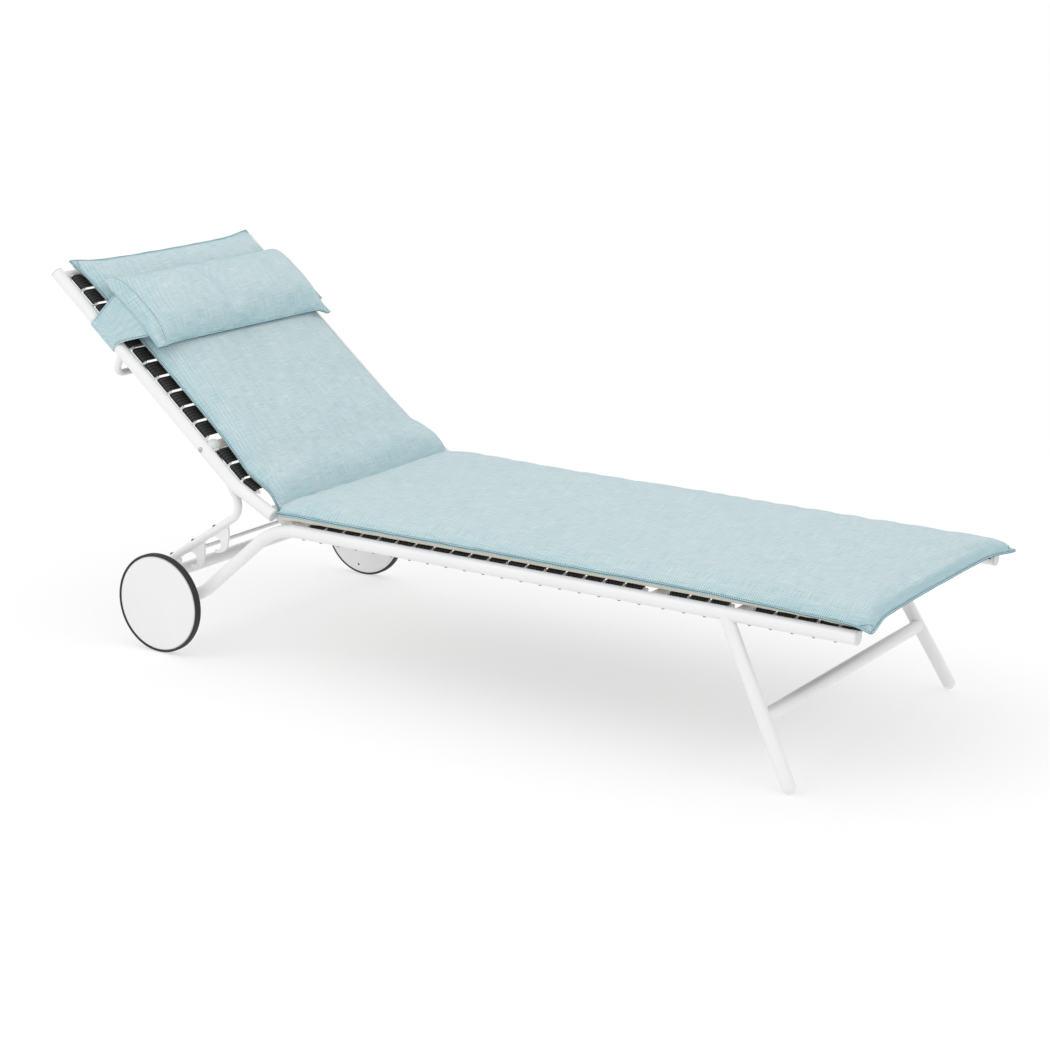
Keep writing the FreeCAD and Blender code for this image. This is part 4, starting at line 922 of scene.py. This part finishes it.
def ruled_band(name, thickness, lines):
    """A strip across the lounger; lines is how many points lie across its width."""
    side = band_profile()
    path = [(-y, z, t) for y, z, t in side] + [(0.0, -TUBE_WRAP - 0.0006, 1.0)]
    path += [(y, z, t) for y, z, t in reversed(side)]
    mesh = bmesh.new()
    rows = []
    for y, z, narrowed in path:
        low = BAND_ON_PILLOW[0] + (BAND_ON_TUBE[0] - BAND_ON_PILLOW[0]) * narrowed
        high = BAND_ON_PILLOW[1] + (BAND_ON_TUBE[1] - BAND_ON_PILLOW[1]) * narrowed
        row = []
        for i in range(lines + 1):
            x = low + (high - low) * i / lines
            soft = 0.0007 * noise.noise(Vector((x * 40, y * 25, z * 25)))
            row.append(mesh.verts.new((x, y, z + soft)))
        rows.append(row)
    ways = lengths([row[0].co for row in rows])
    # the band counts as a quarter wall, so it takes a little of the walls' painted shade
    threads = [(v.co.x, way, 0.25) for way, row in zip(ways, rows) for v in row]
    for a, b in zip(rows, rows[1:]):
        for i in range(lines):
            mesh.faces.new((a[i], a[i + 1], b[i + 1], b[i]))
    data = bpy.data.meshes.new(name)
    mesh.to_mesh(data)
    mesh.free()
    keep_threads(data, threads)
    data.materials.append(AQUA)
    band = bpy.data.objects.new(name, data)
    bpy.context.collection.objects.link(band)
    shell = band.modifiers.new("thickness", "SOLIDIFY")
    shell.thickness, shell.offset = thickness, 0
    soft = band.modifiers.new("soft", "SUBSURF")
    soft.levels = soft.render_levels = 1
    band.data = bpy.data.meshes.new_from_object(band.evaluated_get(
        bpy.context.evaluated_depsgraph_get()))
    band.modifiers.clear()
    for face in band.data.polygons:
        face.use_smooth = True
    return band


BAND_THICK, BAND_LINES = 0.0014, 10
BAND_PITCH, BAND_THREAD = 0.004, 0.00045
band = ruled_band("pillow_band", BAND_THICK, BAND_LINES)
band_threads = []
for label, sign in (("left", -1), ("right", 1)):
    rows = []
    for inset, name in ((0.004, "lower"), (-0.004, "upper")):
        line = []
        for y, z, narrowed in band_profile():
            ends = [p + (t - p) * narrowed for p, t in zip(BAND_ON_PILLOW, BAND_ON_TUBE)]
            x = ends[0] + inset if inset > 0 else ends[1] + inset
            line.append(Vector((x, sign * (y + 0.0006), z + 0.0006)))
        rows.append(stitch_row(f"band_stitches_{label}_{name}", line[:9], BAND_PITCH,
                               BAND_THREAD, THREAD_AND_SEAM_SHADOW))
    across = [Vector((BAND_ON_PILLOW[0] + 0.12 * i / 12, sign * 0.2715, PILLOW_BASE + 0.0098))
              for i in range(13)]
    rows.append(stitch_row(f"band_stitches_{label}_end", across, BAND_PITCH, BAND_THREAD, THREAD_AND_SEAM_SHADOW))
    band_threads += rows
settle([band, *band_threads], BACK, "backrest")
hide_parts("pillow_strap")
print("band size", [round(v, 3) for v in band.dimensions])

# %% [markdown]
# ## Floor, light and camera
# The lounger stands on a plain pale floor in soft light from all round, with one large lamp from
# the upper left in front. The camera looks from the foot end's left side, a little from above.

# %% Floor
def pale_floor():
    data = bpy.data.meshes.new("floor")
    size = 30
    data.from_pydata([(-size, -size, 0), (size, -size, 0), (size, size, 0), (-size, size, 0)], [],
                     [(0, 1, 2, 3)])
    floor = bpy.data.objects.new("floor", data)
    bpy.context.collection.objects.link(floor)
    material = bpy.data.materials.new("pale_floor")
    material.use_nodes = True
    shader = material.node_tree.nodes["Principled BSDF"]
    shader.inputs["Base Color"].default_value = (0.45, 0.45, 0.45, 1)
    shader.inputs["Emission Color"].default_value = (1, 1, 1, 1)
    shader.inputs["Emission Strength"].default_value = 0.55
    shader.inputs["Specular IOR Level"].default_value = 0.0
    shader.inputs["Roughness"].default_value = 0.8
    data.materials.append(material)
    floor.location.z = -0.0005


pale_floor()


# %% Lights
def area_light(name, place, target, size, power):
    """A round soft lamp at place, turned towards target."""
    light = bpy.data.lights.new(name, "AREA")
    light.shape = "DISK"
    light.size, light.energy = size, power
    lamp = bpy.data.objects.new(name, light)
    bpy.context.collection.objects.link(lamp)
    lamp.location = place
    lamp.rotation_euler = (Vector(target) - Vector(place)).to_track_quat("-Z", "Y").to_euler()


world = bpy.data.worlds.new("soft_room")
bpy.context.scene.world = world
world.use_nodes = True
world.node_tree.nodes["Background"].inputs[0].default_value = (1, 1, 1, 1)
world.node_tree.nodes["Background"].inputs[1].default_value = 1.0
area_light("key", (-1.8, -2.6, 3.6), (0, 0, 0.3), 2.6, 24)
area_light("fill", (3.6, -1.4, 2.2), (0.2, 0, 0.3), 2.0, 5)
bpy.context.scene.view_settings.view_transform = "Standard"


# %% Camera
def aim_camera(place, azimuth, elevation, roll, focal):
    """Camera at place; azimuth 0 looks along +Y, elevation is above the horizon, in degrees."""
    a, e, r = (math.radians(v) for v in (azimuth, elevation, roll))
    back = Vector((math.sin(a) * math.cos(e), -math.cos(a) * math.cos(e), math.sin(e)))
    level = Vector((math.cos(a), math.sin(a), 0))
    above = back.cross(level)
    right = level * math.cos(r) + above * math.sin(r)
    up = above * math.cos(r) - level * math.sin(r)
    pose = Matrix((right, up, back)).transposed().to_4x4()
    pose.translation = place
    data = bpy.data.cameras.new("camera")
    data.sensor_width, data.lens = 36, focal
    data.clip_start, data.clip_end = 0.1, 60
    camera = bpy.data.objects.new("camera", data)
    bpy.context.collection.objects.link(camera)
    camera.matrix_world = pose
    bpy.context.scene.camera = camera


aim_camera((2.5022, -3.9012, 1.5042), 32.36, 14.81, 0.85, 84.41)
